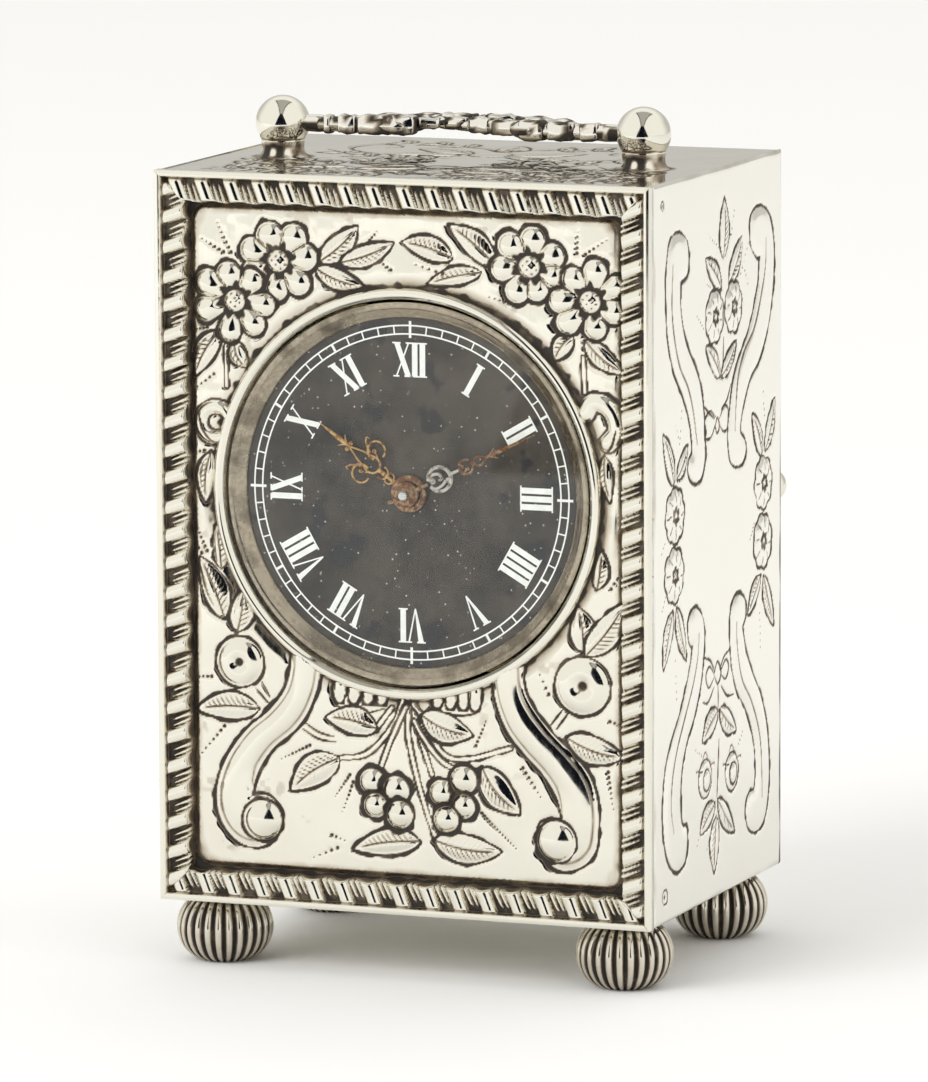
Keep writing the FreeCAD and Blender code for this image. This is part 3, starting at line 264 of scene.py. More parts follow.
def dial_material():
    """Matt black enamel, faintly brown, with lint and small stains."""
    material, tree, out = new_material("dial_black_enamel")
    shader = principled(tree, out)
    place = object_vector(tree)
    clouds = noise_node(tree, place, 75.0, 8.0, 0.7)
    specks = tree.nodes.new("ShaderNodeTexVoronoi")
    specks.inputs["Scale"].default_value = 1300.0
    tree.links.new(place, specks.inputs["Vector"])
    dust = ramp_node(tree, specks.outputs["Distance"], 0.17, 0.07)
    rare = ramp_node(tree, noise_node(tree, place, 330.0, 2.0), 0.47, 0.56)
    dust = math_node(tree, "MULTIPLY", dust, rare)
    cloudy = ramp_node(tree, clouds, 0.36, 0.62)
    base = mix_colour(tree, cloudy, (0.028, 0.023, 0.020), (0.094, 0.077, 0.064))
    stain = ramp_node(tree, noise_node(tree, place, 240.0, 2.0), 0.59, 0.64, 0.0, 0.75)
    base = mix_colour(tree, stain, base, (0.018, 0.019, 0.027))
    colour = mix_colour(tree, dust, base, (0.60, 0.54, 0.45))
    tree.links.new(colour, shader.inputs["Base Color"])
    tree.links.new(ramp_node(tree, clouds, 0.3, 0.7, 0.42, 0.6), shader.inputs["Roughness"])
    shader.inputs["Specular IOR Level"].default_value = 0.35
    return material


def paint_material(name, colour, other):
    """Hand-laid enamel paint, a little uneven in tone."""
    material, tree, out = new_material(name)
    shader = principled(tree, out)
    place = object_vector(tree)
    patches = noise_node(tree, place, 900.0, 3.0)
    mixed = mix_colour(tree, ramp_node(tree, patches, 0.4, 0.75), colour, other)
    tree.links.new(mixed, shader.inputs["Base Color"])
    shader.inputs["Roughness"].default_value = 0.45
    bumped(tree, shader, patches, 0.000004)
    return material


def metal_material(name, colour, worn, stain, rough_low, rough_high, brushed, spread):
    """A metal with brushing, worn patches and dull stains."""
    material, tree, out = new_material(name)
    shader = principled(tree, out)
    place = object_vector(tree)
    grain = noise_node(tree, object_vector(tree, brushed), 2400.0, 3.0)
    patches = noise_node(tree, place, 260.0, 5.0)
    base = mix_colour(tree, ramp_node(tree, grain, 0.3, 0.7), colour, worn)
    colours = mix_colour(tree, ramp_node(tree, patches, spread, spread + 0.2), base, stain)
    tree.links.new(colours, shader.inputs["Base Color"])
    shader.inputs["Metallic"].default_value = 1.0
    both = math_node(tree, "ADD", ramp_node(tree, grain, 0.3, 0.7, rough_low, rough_high),
                     ramp_node(tree, patches, spread, spread + 0.2, 0.0, 0.25))
    tree.links.new(both, shader.inputs["Roughness"])
    bumped(tree, shader, grain, 0.000006)
    return material


def rust_material(name, metal, rust, share):
    """Gilt that has worn through to brown rust."""
    material, tree, out = new_material(name)
    shader = principled(tree, out)
    place = object_vector(tree)
    patches = noise_node(tree, place, 1500.0, 6.0, 0.65)
    eaten = ramp_node(tree, patches, share, share + 0.12)
    colours = mix_colour(tree, eaten, metal, rust)
    tree.links.new(colours, shader.inputs["Base Color"])
    tree.links.new(ramp_node(tree, eaten, 0.0, 1.0, 1.0, 0.1), shader.inputs["Metallic"])
    tree.links.new(ramp_node(tree, eaten, 0.0, 1.0, 0.28, 0.75), shader.inputs["Roughness"])
    bumped(tree, shader, patches, 0.00003)
    return material


def glass_material():
    """Thin clear glass: nearly all of it see-through, with its gloss and faint smears."""
    material, tree, out = new_material("clear_glass")
    clear = tree.nodes.new("ShaderNodeBsdfTransparent")
    clear.inputs["Color"].default_value = (0.965, 0.975, 0.97, 1.0)
    gloss = tree.nodes.new("ShaderNodeBsdfGlossy")
    gloss.inputs["Color"].default_value = (1.0, 1.0, 1.0, 1.0)
    place = object_vector(tree)
    smear = ramp_node(tree, noise_node(tree, place, 130.0, 4.0), 0.45, 0.8, 0.05, 0.12)
    tree.links.new(smear, gloss.inputs["Roughness"])
    facing = tree.nodes.new("ShaderNodeLayerWeight")
    facing.inputs["Blend"].default_value = 0.5
    slant = math_node(tree, "POWER", facing.outputs["Facing"], 4.0)
    share = tree.nodes.new("ShaderNodeMixShader")
    tree.links.new(ramp_node(tree, slant, 0.0, 1.0, 0.02, 0.42), share.inputs["Fac"])
    tree.links.new(clear.outputs["BSDF"], share.inputs[1])
    tree.links.new(gloss.outputs["BSDF"], share.inputs[2])
    tree.links.new(share.outputs["Shader"], out.inputs["Surface"])
    return material


SILVER = silver_material("silver_chased", 0.00004, 0.35)
SILVER_SMOOTH = silver_material("silver_polished", 0.000006, 0.12)
SILVER_HANDLE = silver_material("silver_cast", 0.000012, 0.2, (0.80, 0.78, 0.71))
# The side and door copy has its base colour painted lighter, and the top copy painted darker: painted light
# and shade on one silver.
SILVER_SIDE_PAINTED_LIGHT = silver_material("silver_engraved", 0.000012, 0.15, (0.915, 0.90, 0.835))
SILVER_TOP_PAINTED_SHADE = silver_material("silver_engraved_top_painted_shade", 0.000012, 0.3, (0.70, 0.675, 0.60))
EVEN = (1.0, 1.0, 1.0)           # no brushing direction
REFLECTOR = metal_material("reflector_gilt_silver", (0.37, 0.30, 0.225), (0.52, 0.44, 0.34),
                           (0.17, 0.13, 0.09), 0.13, 0.24, EVEN, 0.48)
BRASS = metal_material("movement_brass", (0.78, 0.57, 0.26), (0.86, 0.67, 0.36),
                       (0.45, 0.30, 0.12), 0.22, 0.34, (0.15, 1.0, 1.0), 0.6)
STEEL = metal_material("polished_steel", (0.60, 0.60, 0.60), (0.72, 0.72, 0.71),
                       (0.22, 0.19, 0.17), 0.16, 0.30, (1.0, 0.2, 1.0), 0.62)
BLUE = metal_material("blued_steel", (0.03, 0.05, 0.17), (0.05, 0.08, 0.26),
                      (0.02, 0.02, 0.05), 0.18, 0.30, EVEN, 0.6)
HAND_RUST = rust_material("hand_gilt_rusted", (0.72, 0.46, 0.19), (0.24, 0.09, 0.03), 0.47)
HUB_RUST = rust_material("hub_steel_rusted", (0.46, 0.30, 0.18), (0.17, 0.065, 0.025), 0.42)
PALE_RUST = rust_material("hand_bloom", (0.60, 0.58, 0.54), (0.20, 0.13, 0.09), 0.50)
DIAL = dial_material()
FIGURES = paint_material("figure_white_enamel", (1.0, 1.0, 0.98), (0.90, 0.89, 0.86))
GLASS = glass_material()

# The look of each material slot that the CAD names.
SLOT_LOOKS = {"silver": SILVER_SMOOTH, "glass": GLASS, "gilt_reflector": REFLECTOR, "dial_black": DIAL,
              "gilt_hands": HAND_RUST, "brass": BRASS, "steel": STEEL, "blued_steel": BLUE}


def paint_cad_nodes():
    """Every CAD node takes the look of its material slot; the rusted collet has its own."""
    looks = {part["node"]: SLOT_LOOKS[part["material_slot"]] for part in frame["record"]["subparts"]}
    looks["hand_collet"] = HUB_RUST
    for node, obj in NODES.items():
        if not obj.material_slots:
            obj.data.materials.append(looks[node])
        for place in obj.material_slots:
            place.material = looks[node]


# ---------------------------------------------------------------- mesh makers

class Solid:
    """Points, faces and oxide_and_shade values gathered from several closed shells, then made into one piece.
    """

    def __init__(self):
        self.points, self.faces, self.oxide_and_shade = [], [], []
        self.count = 0

    def add(self, points, faces, oxide_and_shade=0.0):
        """Take in one closed shell, with one oxide_and_shade value or one for each point."""
        points = np.asarray(points, float)
        values = np.broadcast_to(np.asarray(oxide_and_shade, float), (len(points),))
        self.points.append(points)
        self.oxide_and_shade.append(values)
        self.faces.extend([tuple(int(i) + self.count for i in f) for f in faces])
        self.count += len(points)

    def piece(self, name, body, slot, material, stands_for=(), flat=False):
        """Make the mesh, and say what it rides on and the CAD nodes it stands for; slot is not used."""
        mesh = bpy.data.meshes.new(name)
        mesh.from_pydata((np.vstack(self.points) * MM).tolist(), [], self.faces)
        mesh.validate()
        mesh.polygons.foreach_set("use_smooth", [not flat] * len(mesh.polygons))
        layer = mesh.attributes.new("oxide_and_shade", "FLOAT", "POINT")
        layer.data.foreach_set("value", np.clip(np.concatenate(self.oxide_and_shade).astype(np.float32), 0, 1))
        mesh.update()
        obj = bpy.data.objects.new(name, mesh)
        bpy.context.scene.collection.objects.link(obj)
        obj.data.materials.append(material)
        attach(obj, body)
        if stands_for:
            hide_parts(*stands_for)


def ring_faces(rows, cols, closed_rows=False, closed_cols=True):
    """Quads over a rows by cols grid of points."""
    out = []
    for i in range(rows if closed_rows else rows - 1):
        here, after = i * cols, (i + 1) % rows * cols
        for j in range(cols if closed_cols else cols - 1):
            m = (j + 1) % cols
            out.append((here + j, here + m, after + m, after + j))
    return out


def lathe(profile, centre, axis, segments=160, closed=False, oxide_and_shade=None):
    """Revolve (radius, height) pairs; axis is "y" or "z". Radius 0 at an end closes that end."""
    profile = np.asarray(profile, float)
    angles = np.arange(segments) * 2 * math.pi / segments
    r, h = profile[:, 0][:, None], profile[:, 1][:, None]
    a, b = r * np.cos(angles), r * np.sin(angles)
    h = np.broadcast_to(h, a.shape)
    if axis == "y":
        points = np.stack([centre[0] + a, h, centre[1] - b], -1)
    else:
        points = np.stack([centre[0] + a, centre[1] + b, h], -1)
    points = points.reshape(-1, 3)
    faces = ring_faces(len(profile), segments, closed)
    values = np.zeros(len(profile)) if oxide_and_shade is None else np.asarray(oxide_and_shade, float)
    return points, faces, np.repeat(values, segments)


def tube(path, radii, sides=12, flatten=1.0, up=(0, 0, 1)):
    """A tube along 3-D points; flatten squashes it along up."""
    path = np.asarray(path, float)
    radii = np.broadcast_to(np.asarray(radii, float), (len(path),))
    tangent = np.gradient(path, axis=0)
    tangent /= np.linalg.norm(tangent, axis=1)[:, None] + 1e-12
    up = np.asarray(up, float)
    side = np.cross(tangent, up)
    side /= np.linalg.norm(side, axis=1)[:, None] + 1e-12
    other = np.cross(side, tangent)
    angles = np.arange(sides) * 2 * math.pi / sides
    ring = (np.cos(angles)[None, :, None] * side[:, None, :]
            + np.sin(angles)[None, :, None] * other[:, None, :] * flatten)
    points = path[:, None, :] + ring * radii[:, None, None]
    points = points.reshape(-1, 3)
    faces = ring_faces(len(path), sides)
    faces.append(tuple(range(sides))[::-1])
    last = (len(path) - 1) * sides
    faces.append(tuple(range(last, last + sides)))
    return points, faces


def plate(outline, low, high):
    """Straight-sided plate between two depths from a flat (x, z) outline."""
    p = np.asarray(outline, float)
    n = len(p)
    front, back = (np.column_stack([p[:, 0], np.full(n, y), p[:, 1]]) for y in (low, high))
    faces = [tuple(range(n)), tuple(range(2 * n - 1, n - 1, -1))]
    faces += [(i, i + n, (i + 1) % n + n, (i + 1) % n) for i in range(n)]
    return np.vstack([front, back]), faces


# ---------------------------------------------------------------- chased sheets

class Sheet:
    """Height and darkness over a flat face, worked motif by motif, as a silver chaser works it; the darkness
    is patina, with painted shade where a piece adds it.
    """

    def __init__(self, u0, u1, du, w0, w1, dw, seed):
        self.us = np.linspace(u0, u1, int(round((u1 - u0) / du)) + 1)
        self.ws = np.linspace(w0, w1, int(round((w1 - w0) / dw)) + 1)
        self.u, self.w = np.meshgrid(self.us, self.ws)
        self.height = np.zeros(self.u.shape)
        self.dark = np.zeros(self.u.shape)
        self.hand = lattice_noise(self.u, self.w, 0.9, seed)
        self.slow = lattice_noise(self.u, self.w, 4.0, seed + 1)

    def window(self, low, high, margin=1.2):
        """The part of the grid round a box, as two slices."""
        i0, i1 = np.searchsorted(self.ws, (low[1] - margin, high[1] + margin))
        j0, j1 = np.searchsorted(self.us, (low[0] - margin, high[0] + margin))
        return slice(i0, i1), slice(j0, j1)

    def around(self, points, margin=1.2):
        """The part of the grid round some points."""
        p = np.asarray(points, float)
        return self.window(p.min(axis=0), p.max(axis=0), margin)

    def put(self, win, inside, height, dark=0.0, line=0.34, depth=0.14, ink=1.0):
        """Lay a motif: inside is its signed edge distance, height and dark its own surface."""
        base = self.height[win]
        over = smooth(-0.02, 0.16, inside)
        wide = line * (1.0 + 0.45 * self.hand[win] + 0.25 * self.slow[win])
        groove = bell(inside + 0.45 * wide, 0.55 * wide) * (inside < 0.12)
        self.height[win] = base * (1 - over) + height * over - depth * groove
        mark = ink * smooth(0.22, 0.62, groove)
        self.dark[win] = np.maximum(self.dark[win] * (1 - over) + dark * over, mark)

    def dome(self, at, r, high, squash=1.0, pit=0.0, pit_r=0.5, line=0.34):
        """A round or oval boss, with a dark pit in its middle if one is asked for."""
        win = self.window((at[0] - r, at[1] - r), (at[0] + r, at[1] + r))
        u, w = self.u[win] - at[0], (self.w[win] - at[1]) / squash
        d = np.hypot(u, w)
        height = high * np.sqrt(np.clip(1 - (d / r) ** 2, 0.02, 1)) - pit * bell(d, pit_r)
        dark = smooth(0.75, 0.35, d / pit_r) * (pit > 0)
        self.put(win, r - d, height, dark, line)

    def flower(self, at, petals, high=0.95, eye=1.3, seed=3):
        """Puffed petals that meet round a dark ragged ring and a pricked button."""
        reach = max(math.hypot(u - at[0], w - at[1]) + r for u, w, r in petals)
        win = self.window((at[0] - reach, at[1] - reach), (at[0] + reach, at[1] + reach))
        u, w = self.u[win] - at[0], self.w[win] - at[1]
        d, angle = np.hypot(u, w), np.arctan2(w, u)
        best = np.full(u.shape, -9.0)
        second = best.copy()
        size = np.ones(u.shape)
        for pu, pw, r in petals:
            axis = np.array([pu - at[0], pw - at[1]])
            far = np.hypot(*axis)
            axis = axis / far
            t = np.clip((u * axis[0] + w * axis[1] - 0.9) / (far - 0.9), 0, 1)
            out = 0.9 + t * (far - 0.9)
            inside = (0.45 + (r - 0.45) * t ** 0.7) - np.hypot(u - axis[0] * out, w - axis[1] * out)
            first = inside > best
            second = np.where(first, best, np.maximum(second, inside))
            size = np.where(first, r, size)
            best = np.where(first, inside, best)
        swell = np.clip(best / (0.95 * size), 0, 1)
        height = high * np.sqrt(np.clip(1 - (1 - swell) ** 2, 0, 1)) * (0.62 + 0.38 * smooth(1.4, 3.0, d))
        height = height * (1 + 0.10 * self.slow[win]) + 0.06 * self.hand[win] * swell
        crease = bell(best - second, 0.20) * smooth(0.0, 0.1, second + 0.25)
        self.put(win, best, height - 0.35 * crease, 0.95 * smooth(0.25, 0.8, crease), 0.46, 0.2)
        ragged = eye + 0.62 + 0.26 * np.sin(7 * angle + seed) + 0.16 * np.sin(13 * angle + 2 * seed)
        over = smooth(-0.12, 0.12, ragged - d)
        self.height[win] = self.height[win] * (1 - over) + 0.3 * over
        self.dark[win] = np.maximum(self.dark[win], over)
        pits = 0.5 + 0.5 * np.sin(u * 6.1 + seed) * np.sin(w * 6.7 - seed)
        button = 0.95 * high * np.sqrt(np.clip(1 - (d / (eye + 0.1)) ** 2, 0.02, 1)) - 0.16 * pits
        over = smooth(0, 0.2, eye - d)
        self.height[win] = self.height[win] * (1 - over) + button * over
        self.dark[win] = self.dark[win] * (1 - over) + over * 0.75 * smooth(0.72, 0.95, pits)

    def leaf(self, base, tip, wide, high=0.75, bend=0.12, line=0.34):
        """A pointed leaf with a midrib, veined more deeply on one side."""
        base, tip = np.asarray(base, float), np.asarray(tip, float)
        length = np.hypot(*(tip - base))
        axis = (tip - base) / length
        win = self.around([base, tip], 0.5 * wide + 1.0)
        u, w = self.u[win] - base[0], self.w[win] - base[1]
        s = (u * axis[0] + w * axis[1]) / length
        across = u * axis[1] - w * axis[0]
        inner = np.clip(s, 0, 1)
        across = across - bend * wide * np.sin(math.pi * inner)
        half = 0.5 * wide * np.sin(math.pi * inner ** 0.82) ** 0.8
        beyond = np.maximum(-s, s - 1) * length
        inside = np.where(beyond > 0, -np.hypot(np.maximum(beyond, 0), across),
                          (half - np.abs(across)) * 0.86)
        share = np.clip(np.abs(across) / np.maximum(half, 0.05), 0, 1)
        height = high * (1 - share ** 2) ** 0.6 * (0.45 + 0.55 * np.sin(math.pi * inner) ** 0.6)
        rib = bell(across, 0.15) * smooth(1.0, 0.85, s)
        height = height - 0.2 * rib
        dark = 0.95 * bell(across, 0.11) * smooth(0.95, 0.8, s)
        pitch = 0.62
        phase = (s * length - 0.75 * np.abs(across)) / pitch
        near = np.abs(phase - np.round(phase)) * pitch
        for sign, ink in ((1.0, 0.95), (-1.0, 0.2)):
            stripe = bell(near, 0.085) * smooth(0.0, 0.12, sign * across) * smooth(0.95, 0.5, share)
            stripe = stripe * smooth(0.02, 0.2, s) * smooth(1.0, 0.7, s)
            height = height - 0.10 * ink * stripe
            dark = np.maximum(dark, ink * stripe)
        self.put(win, inside, height, dark, line)

    def stroke(self, points, wide, high, line):
        """A raised stem with a dark line at each side."""
        path = curve(points) if len(points) > 2 else np.asarray(points, float)
        win = self.around(path, wide + 0.8)
        half = 0.5 * wide
        d = to_line(self.u[win], self.w[win], path)[0]
        height = high * np.sqrt(np.clip(1 - (d / half) ** 2, 0.02, 1))
        self.put(win, half - d, height, 0.0, line, 0.10, 0.9)

    def cut(self, points, wide=0.16, depth=0.12, ink=0.95, taper=0.5):
        """An engraved line that thins towards its ends."""
        path = curve(points) if len(points) > 2 else np.asarray(points, float)
        win = self.around(path, wide + 0.6)
        d, along = to_line(self.u[win], self.w[win], path)
        half = wide * (1 - taper * np.abs(2 * along - 1) ** 2)
        mark = bell(d, np.maximum(half, 0.03))
        self.height[win] -= depth * mark
        self.dark[win] = np.maximum(self.dark[win], ink * smooth(0.15, 0.75, mark))

    def dots(self, start, end, count, small=0.10, large=0.24, depth=0.14):
        """A row of punched dots that grow along the row."""
        for k in range(count):
            t = k / max(count - 1, 1)
            at = np.asarray(start) * (1 - t) + np.asarray(end) * t
            r = small + (large - small) * t
            win = self.window(at - r, at + r, 0.4)
            d = np.hypot(self.u[win] - at[0], self.w[win] - at[1])
            mark = smooth(1.25 * r, 0.55 * r, d)
            self.height[win] -= depth * mark
            self.dark[win] = np.maximum(self.dark[win], mark)

    def band(self, outer, inner, high=0.95, rule=0.14):
        """A smooth rounded band between two edge curves, with a thin line along each edge."""
        outer, inner = curve(outer), curve(inner)
        loop = np.vstack([outer, inner[::-1]])
        win = self.around(loop, 1.2)
        u, w = self.u[win], self.w[win]
        d_out, d_in = to_line(u, w, outer)[0], to_line(u, w, inner)[0]
        outside = to_line(u, w, np.vstack([loop, loop[:1]]))[0]
        inside = np.where(within(u, w, loop), np.minimum(d_out, d_in), -outside)
        share = d_out / (d_out + d_in + 1e-6)
        height = high * np.sin(math.pi * np.clip(share, 0.02, 0.98)) ** 0.6
        mark = bell(share - rule, 0.035) + bell(share - 1 + rule, 0.035)
        self.put(win, inside, height - 0.07 * mark, 0.55 * mark, 0.4, 0.18)

    def soften(self):
        """Blend each height with its neighbours, as worn silver is."""
        h = np.pad(self.height, 1, mode="edge")
        beside = h[:-2, 1:-1] + h[2:, 1:-1] + h[1:-1, :-2] + h[1:-1, 2:]
        self.height = (4 * h[1:-1, 1:-1] + 2 * beside
                       + h[:-2, :-2] + h[2:, 2:] + h[:-2, 2:] + h[2:, :-2]) / 16

    def edge(self):
        """Distance to the nearest edge of the sheet."""
        return np.minimum.reduce([self.u - self.us[0], self.us[-1] - self.u,
                                  self.w - self.ws[0], self.ws[-1] - self.w])


def boundary_loops(faces):
    """Loops of edges that belong to one face only, each as a list of point numbers."""
    single = {}
    for f in faces:
        for a, b in zip(f, (*f[1:], f[0])):
            if (b, a) in single:
                del single[(b, a)]
            else:
                single[(a, b)] = True
    follow = dict(single.keys())     # each point to the next one along its loop
    loops = []
    while follow:
        start, at = next(iter(follow.items()))
        loop = [start]
        del follow[start]
        while at != start:
            loop.append(at)
            at = follow.pop(at)
        loops.append(loop)
    return loops


def sheet_solid(surface, keep, back_point, oxide_and_shade):
    """Close a worked surface with side walls and a plain back. surface is rows by columns by 3."""
    rows, cols = surface.shape[:2]
    number = np.arange(rows * cols).reshape(rows, cols)
    quads = np.stack([number[:-1, :-1], number[:-1, 1:], number[1:, 1:], number[1:, :-1]], -1)
    ok = keep[:-1, :-1] & keep[:-1, 1:] & keep[1:, 1:] & keep[1:, :-1]
    faces = quads[ok].reshape(-1, 4)
    used = np.unique(faces)
    renumber = np.full(rows * cols, -1)
    renumber[used] = np.arange(len(used))
    faces = [tuple(f) for f in renumber[faces]]
    points = surface.reshape(-1, 3)[used]
    values = oxide_and_shade.reshape(-1)[used]
    extra, back_faces, back_ids = [], [], []
    for loop in boundary_loops(faces):
        first, n = len(points) + len(extra), len(loop)
        extra.extend(back_point(points[i]) for i in loop)
        for k in range(n):
            m = (k + 1) % n
            back_faces.append((loop[m], loop[k], first + k, first + m))
        back_ids.append([first + k for k in range(n)])
    everything = np.vstack([points, np.array(extra)])
    flat = [[Vector(everything[i]) for i in ids] for ids in back_ids]
    order = [i for ids in back_ids for i in ids]
    for triangle in tessellate_polygon(flat):
        back_faces.append(tuple(order[i] for i in triangle))
    solid = Solid()
    solid.add(everything, faces + back_faces, np.concatenate([values, np.zeros(len(extra))]))
    return solid


# ---------------------------------------------------------------- the chased front

FLOWERS = [
    ((-15.17, 25.68), [(-16.2, 28.5, 1.6), (-13.3, 28.35, 1.6), (-12.0, 26.2, 1.55), (-12.75, 23.35, 1.45),
                       (-15.3, 22.5, 1.3), (-18.0, 24.5, 1.4), (-18.25, 26.85, 1.5)]),
    ((-20.42, 21.02), [(-23.7, 23.0, 1.55), (-21.2, 24.0, 1.45), (-18.4, 23.35, 1.35), (-16.9, 20.7, 1.3),
                       (-18.2, 18.5, 1.35), (-21.1, 17.7, 1.35), (-23.9, 20.0, 1.45)]),
    ((14.83, 26.18), [(12.6, 28.5, 1.5), (15.25, 29.2, 1.5), (17.6, 27.5, 1.4), (17.6, 25.2, 1.3),
                      (15.7, 23.7, 1.35), (13.4, 23.5, 1.45), (11.7, 25.85, 1.4)]),
    ((22.0, 22.52), [(20.0, 25.0, 1.3), (22.6, 25.9, 1.4), (25.0, 24.35, 1.2), (24.8, 21.5, 1.35),
                     (22.6, 19.7, 1.35), (19.4, 20.2, 1.4), (18.5, 22.5, 1.35)]),
]
LEAVES = [
    ((-10.1, 25.85), (-5.6, 29.85), 2.6), ((-7.6, 25.8), (-1.3, 28.2), 2.2),
    ((-10.6, 25.0), (-5.1, 23.2), 2.2), ((-22.4, 17.5), (-25.4, 12.4), 2.4),
    ((-20.6, 16.35), (-19.2, 13.5), 2.0), ((5.7, 26.8), (-0.25, 28.4), 2.5),
    ((10.75, 26.2), (5.5, 30.4), 2.7), ((9.1, 25.3), (2.8, 23.8), 1.9),
    ((19.9, 18.7), (17.75, 15.85), 2.0), ((21.4, 18.2), (26.0, 14.7), 2.2),
    ((-23.55, 3.75), (-24.15, -1.85), 2.0), ((-22.35, -9.35), (-22.95, -4.45), 1.8),
    ((-22.05, -14.95), (-24.95, -8.25), 3.0), ((-20.45, -16.45), (-19.75, -11.65), 2.6),
    ((23.65, 5.35), (24.3, 0.35), 1.6), ((22.75, -9.45), (23.25, -5.25), 1.8),
    ((21.05, -16.55), (20.45, -11.65), 3.0), ((21.45, -16.95), (26.0, -10.95), 3.0),
    ((-17.95, -25.15), (-25.35, -25.55), 3.0), ((19.25, -26.45), (25.85, -28.25), 3.0),
    ((-3.65, -26.65), (-9.65, -25.65), 3.0), ((1.85, -24.85), (7.85, -26.75), 3.2),
    ((-8.25, -30.25), (-13.95, -34.15), 3.4), ((9.05, -30.45), (13.5, -35.25), 3.4),
    ((1.5, -39.15), (-6.35, -40.45), 2.8), ((3.35, -38.95), (11.25, -39.75), 3.2)]
STEMS = [
    [(-21.5, 16.0), (-21.5, 11.35)], [(21.2, 16.35), (21.4, 12.35)],
    [(0.45, -22.85), (1.45, -26.65), (3.05, -31.45)],
    [(0.25, -24.0), (0.25, -27.45), (1.25, -31.85), (2.45, -35.85), (3.4, -38.45)],
    [(-0.45, -23.05), (-1.45, -25.85), (-4.65, -29.45), (-8.25, -30.25)],
    [(1.6, -24.5), (4.25, -28.85), (7.25, -29.45), (12.45, -27.95)],
    [(0.9, -25.5), (2.85, -28.45), (5.25, -30.45), (9.25, -30.75)],
    [(-0.1, -24.0), (-1.8, -27.6), (-3.1, -31.0)], [(-1.8, -24.2), (-3.65, -26.65)],
    [(0.8, -23.6), (1.85, -24.85)]]
CUTS = [
    [(-12.15, -26.45), (-10.5, -27.4), (-8.65, -27.85)], [(-12.45, -27.15), (-10.6, -28.15), (-8.45, -28.45)],
    [(-17.45, -22.05), (-16.45, -23.75)], [(-18.15, -22.85), (-16.65, -24.45)],
    [(18.65, -23.25), (17.25, -25.05)], [(19.45, -23.45), (17.95, -25.45)],
    [(-24.9, 8.6), (-24.2, 6.2), (-22.9, 4.7)], [(25.2, 8.4), (24.6, 6.6), (23.4, 5.4)],
]
BERRIES = [(-4.15, -32.65, 1.5), (-1.25, -33.45, 1.6), (-3.75, -35.35, 1.4), (-0.85, -36.25, 1.6),
           (4.25, -33.45, 1.5), (6.85, -31.85, 1.6), (6.85, -34.85, 1.4), (4.75, -36.45, 1.5)]
DOT_ROWS = [
    ((-24.3, 27.9), (-21.7, 26.5), 6), ((-22.45, 29.8), (-20.8, 26.5), 7),
    ((-26.0, 17.5), (-23.8, 17.9), 6), ((-3.25, 29.4), (-4.4, 28.1), 5),
    ((-25.55, 10.75), (-23.05, 12.65), 6), ((-25.85, 3.65), (-24.25, 3.95), 4),
    ((-25.85, 0.65), (-24.85, 2.55), 4), ((-25.65, -3.95), (-24.05, -7.45), 8),
    ((-25.85, -6.05), (-24.75, -7.75), 4), ((-25.6, -21.85), (-23.55, -21.75), 5),
    ((-25.25, -31.05), (-22.05, -27.35), 8), ((-15.05, -30.65), (-11.65, -28.95), 9),
    ((-8.65, -34.65), (-6.85, -32.05), 8), ((-7.75, -36.35), (-6.45, -32.85), 8),
    ((-7.45, -39.55), (-9.05, -39.05), 4), ((-11.25, -41.75), (-8.35, -40.45), 5),
    ((9.55, -25.05), (8.35, -27.85), 7), ((16.05, -33.25), (13.95, -30.05), 7),
    ((24.65, -34.05), (24.05, -29.95), 8), ((13.05, -39.25), (9.05, -35.45), 14),
    ((16.05, -19.45), (17.05, -21.55), 4), ((26.0, -24.65), (24.25, -24.25), 4),
    ((26.0, -6.85), (24.45, -9.35), 5), ((20.6, 30.3), (20.5, 27.9), 5), ((24.0, 29.5), (21.5, 27.8), 6),
    ((10.2, 22.6), (13.2, 21.9), 6), ((1.4, 25.9), (4.6, 25.0), 5), ((-3.4, 26.4), (-1.6, 25.2), 5)]
LEFT_OUTER = [(-13.85, -16.5), (-13.95, -18.25), (-14.05, -20.65), (-14.85, -23.05), (-16.85, -25.45),
              (-19.25, -27.45), (-21.45, -30.25), (-22.75, -33.05), (-23.15, -35.65), (-22.75, -37.85),
              (-21.65, -39.65), (-19.85, -40.85), (-17.85, -40.95), (-16.05, -39.85), (-15.25, -37.85),
              (-15.65, -36.05), (-16.85, -35.05), (-18.45, -35.05)]
LEFT_INNER = [(-10.3, -18.5), (-10.45, -20.45), (-10.85, -22.65), (-12.05, -25.45), (-13.65, -27.45),
              (-16.05, -29.45), (-17.65, -31.65), (-18.45, -33.65), (-18.75, -35.2)]
RIGHT_OUTER = [(13.85, -16.5), (13.95, -18.65), (14.15, -21.25), (15.25, -23.45), (17.25, -25.85),
               (19.85, -28.25), (21.85, -30.65), (22.75, -33.45), (22.85, -36.65), (22.45, -39.05),
               (20.85, -40.85), (18.45, -41.45), (16.45, -40.25), (15.55, -38.25), (15.85, -36.45),
               (17.05, -35.75), (18.45, -35.7)]
RIGHT_INNER = [(10.2, -18.8), (10.35, -20.85), (10.85, -23.25), (12.05, -26.05), (14.05, -28.45),
               (16.25, -30.65), (17.85, -33.05), (18.6, -35.4)]


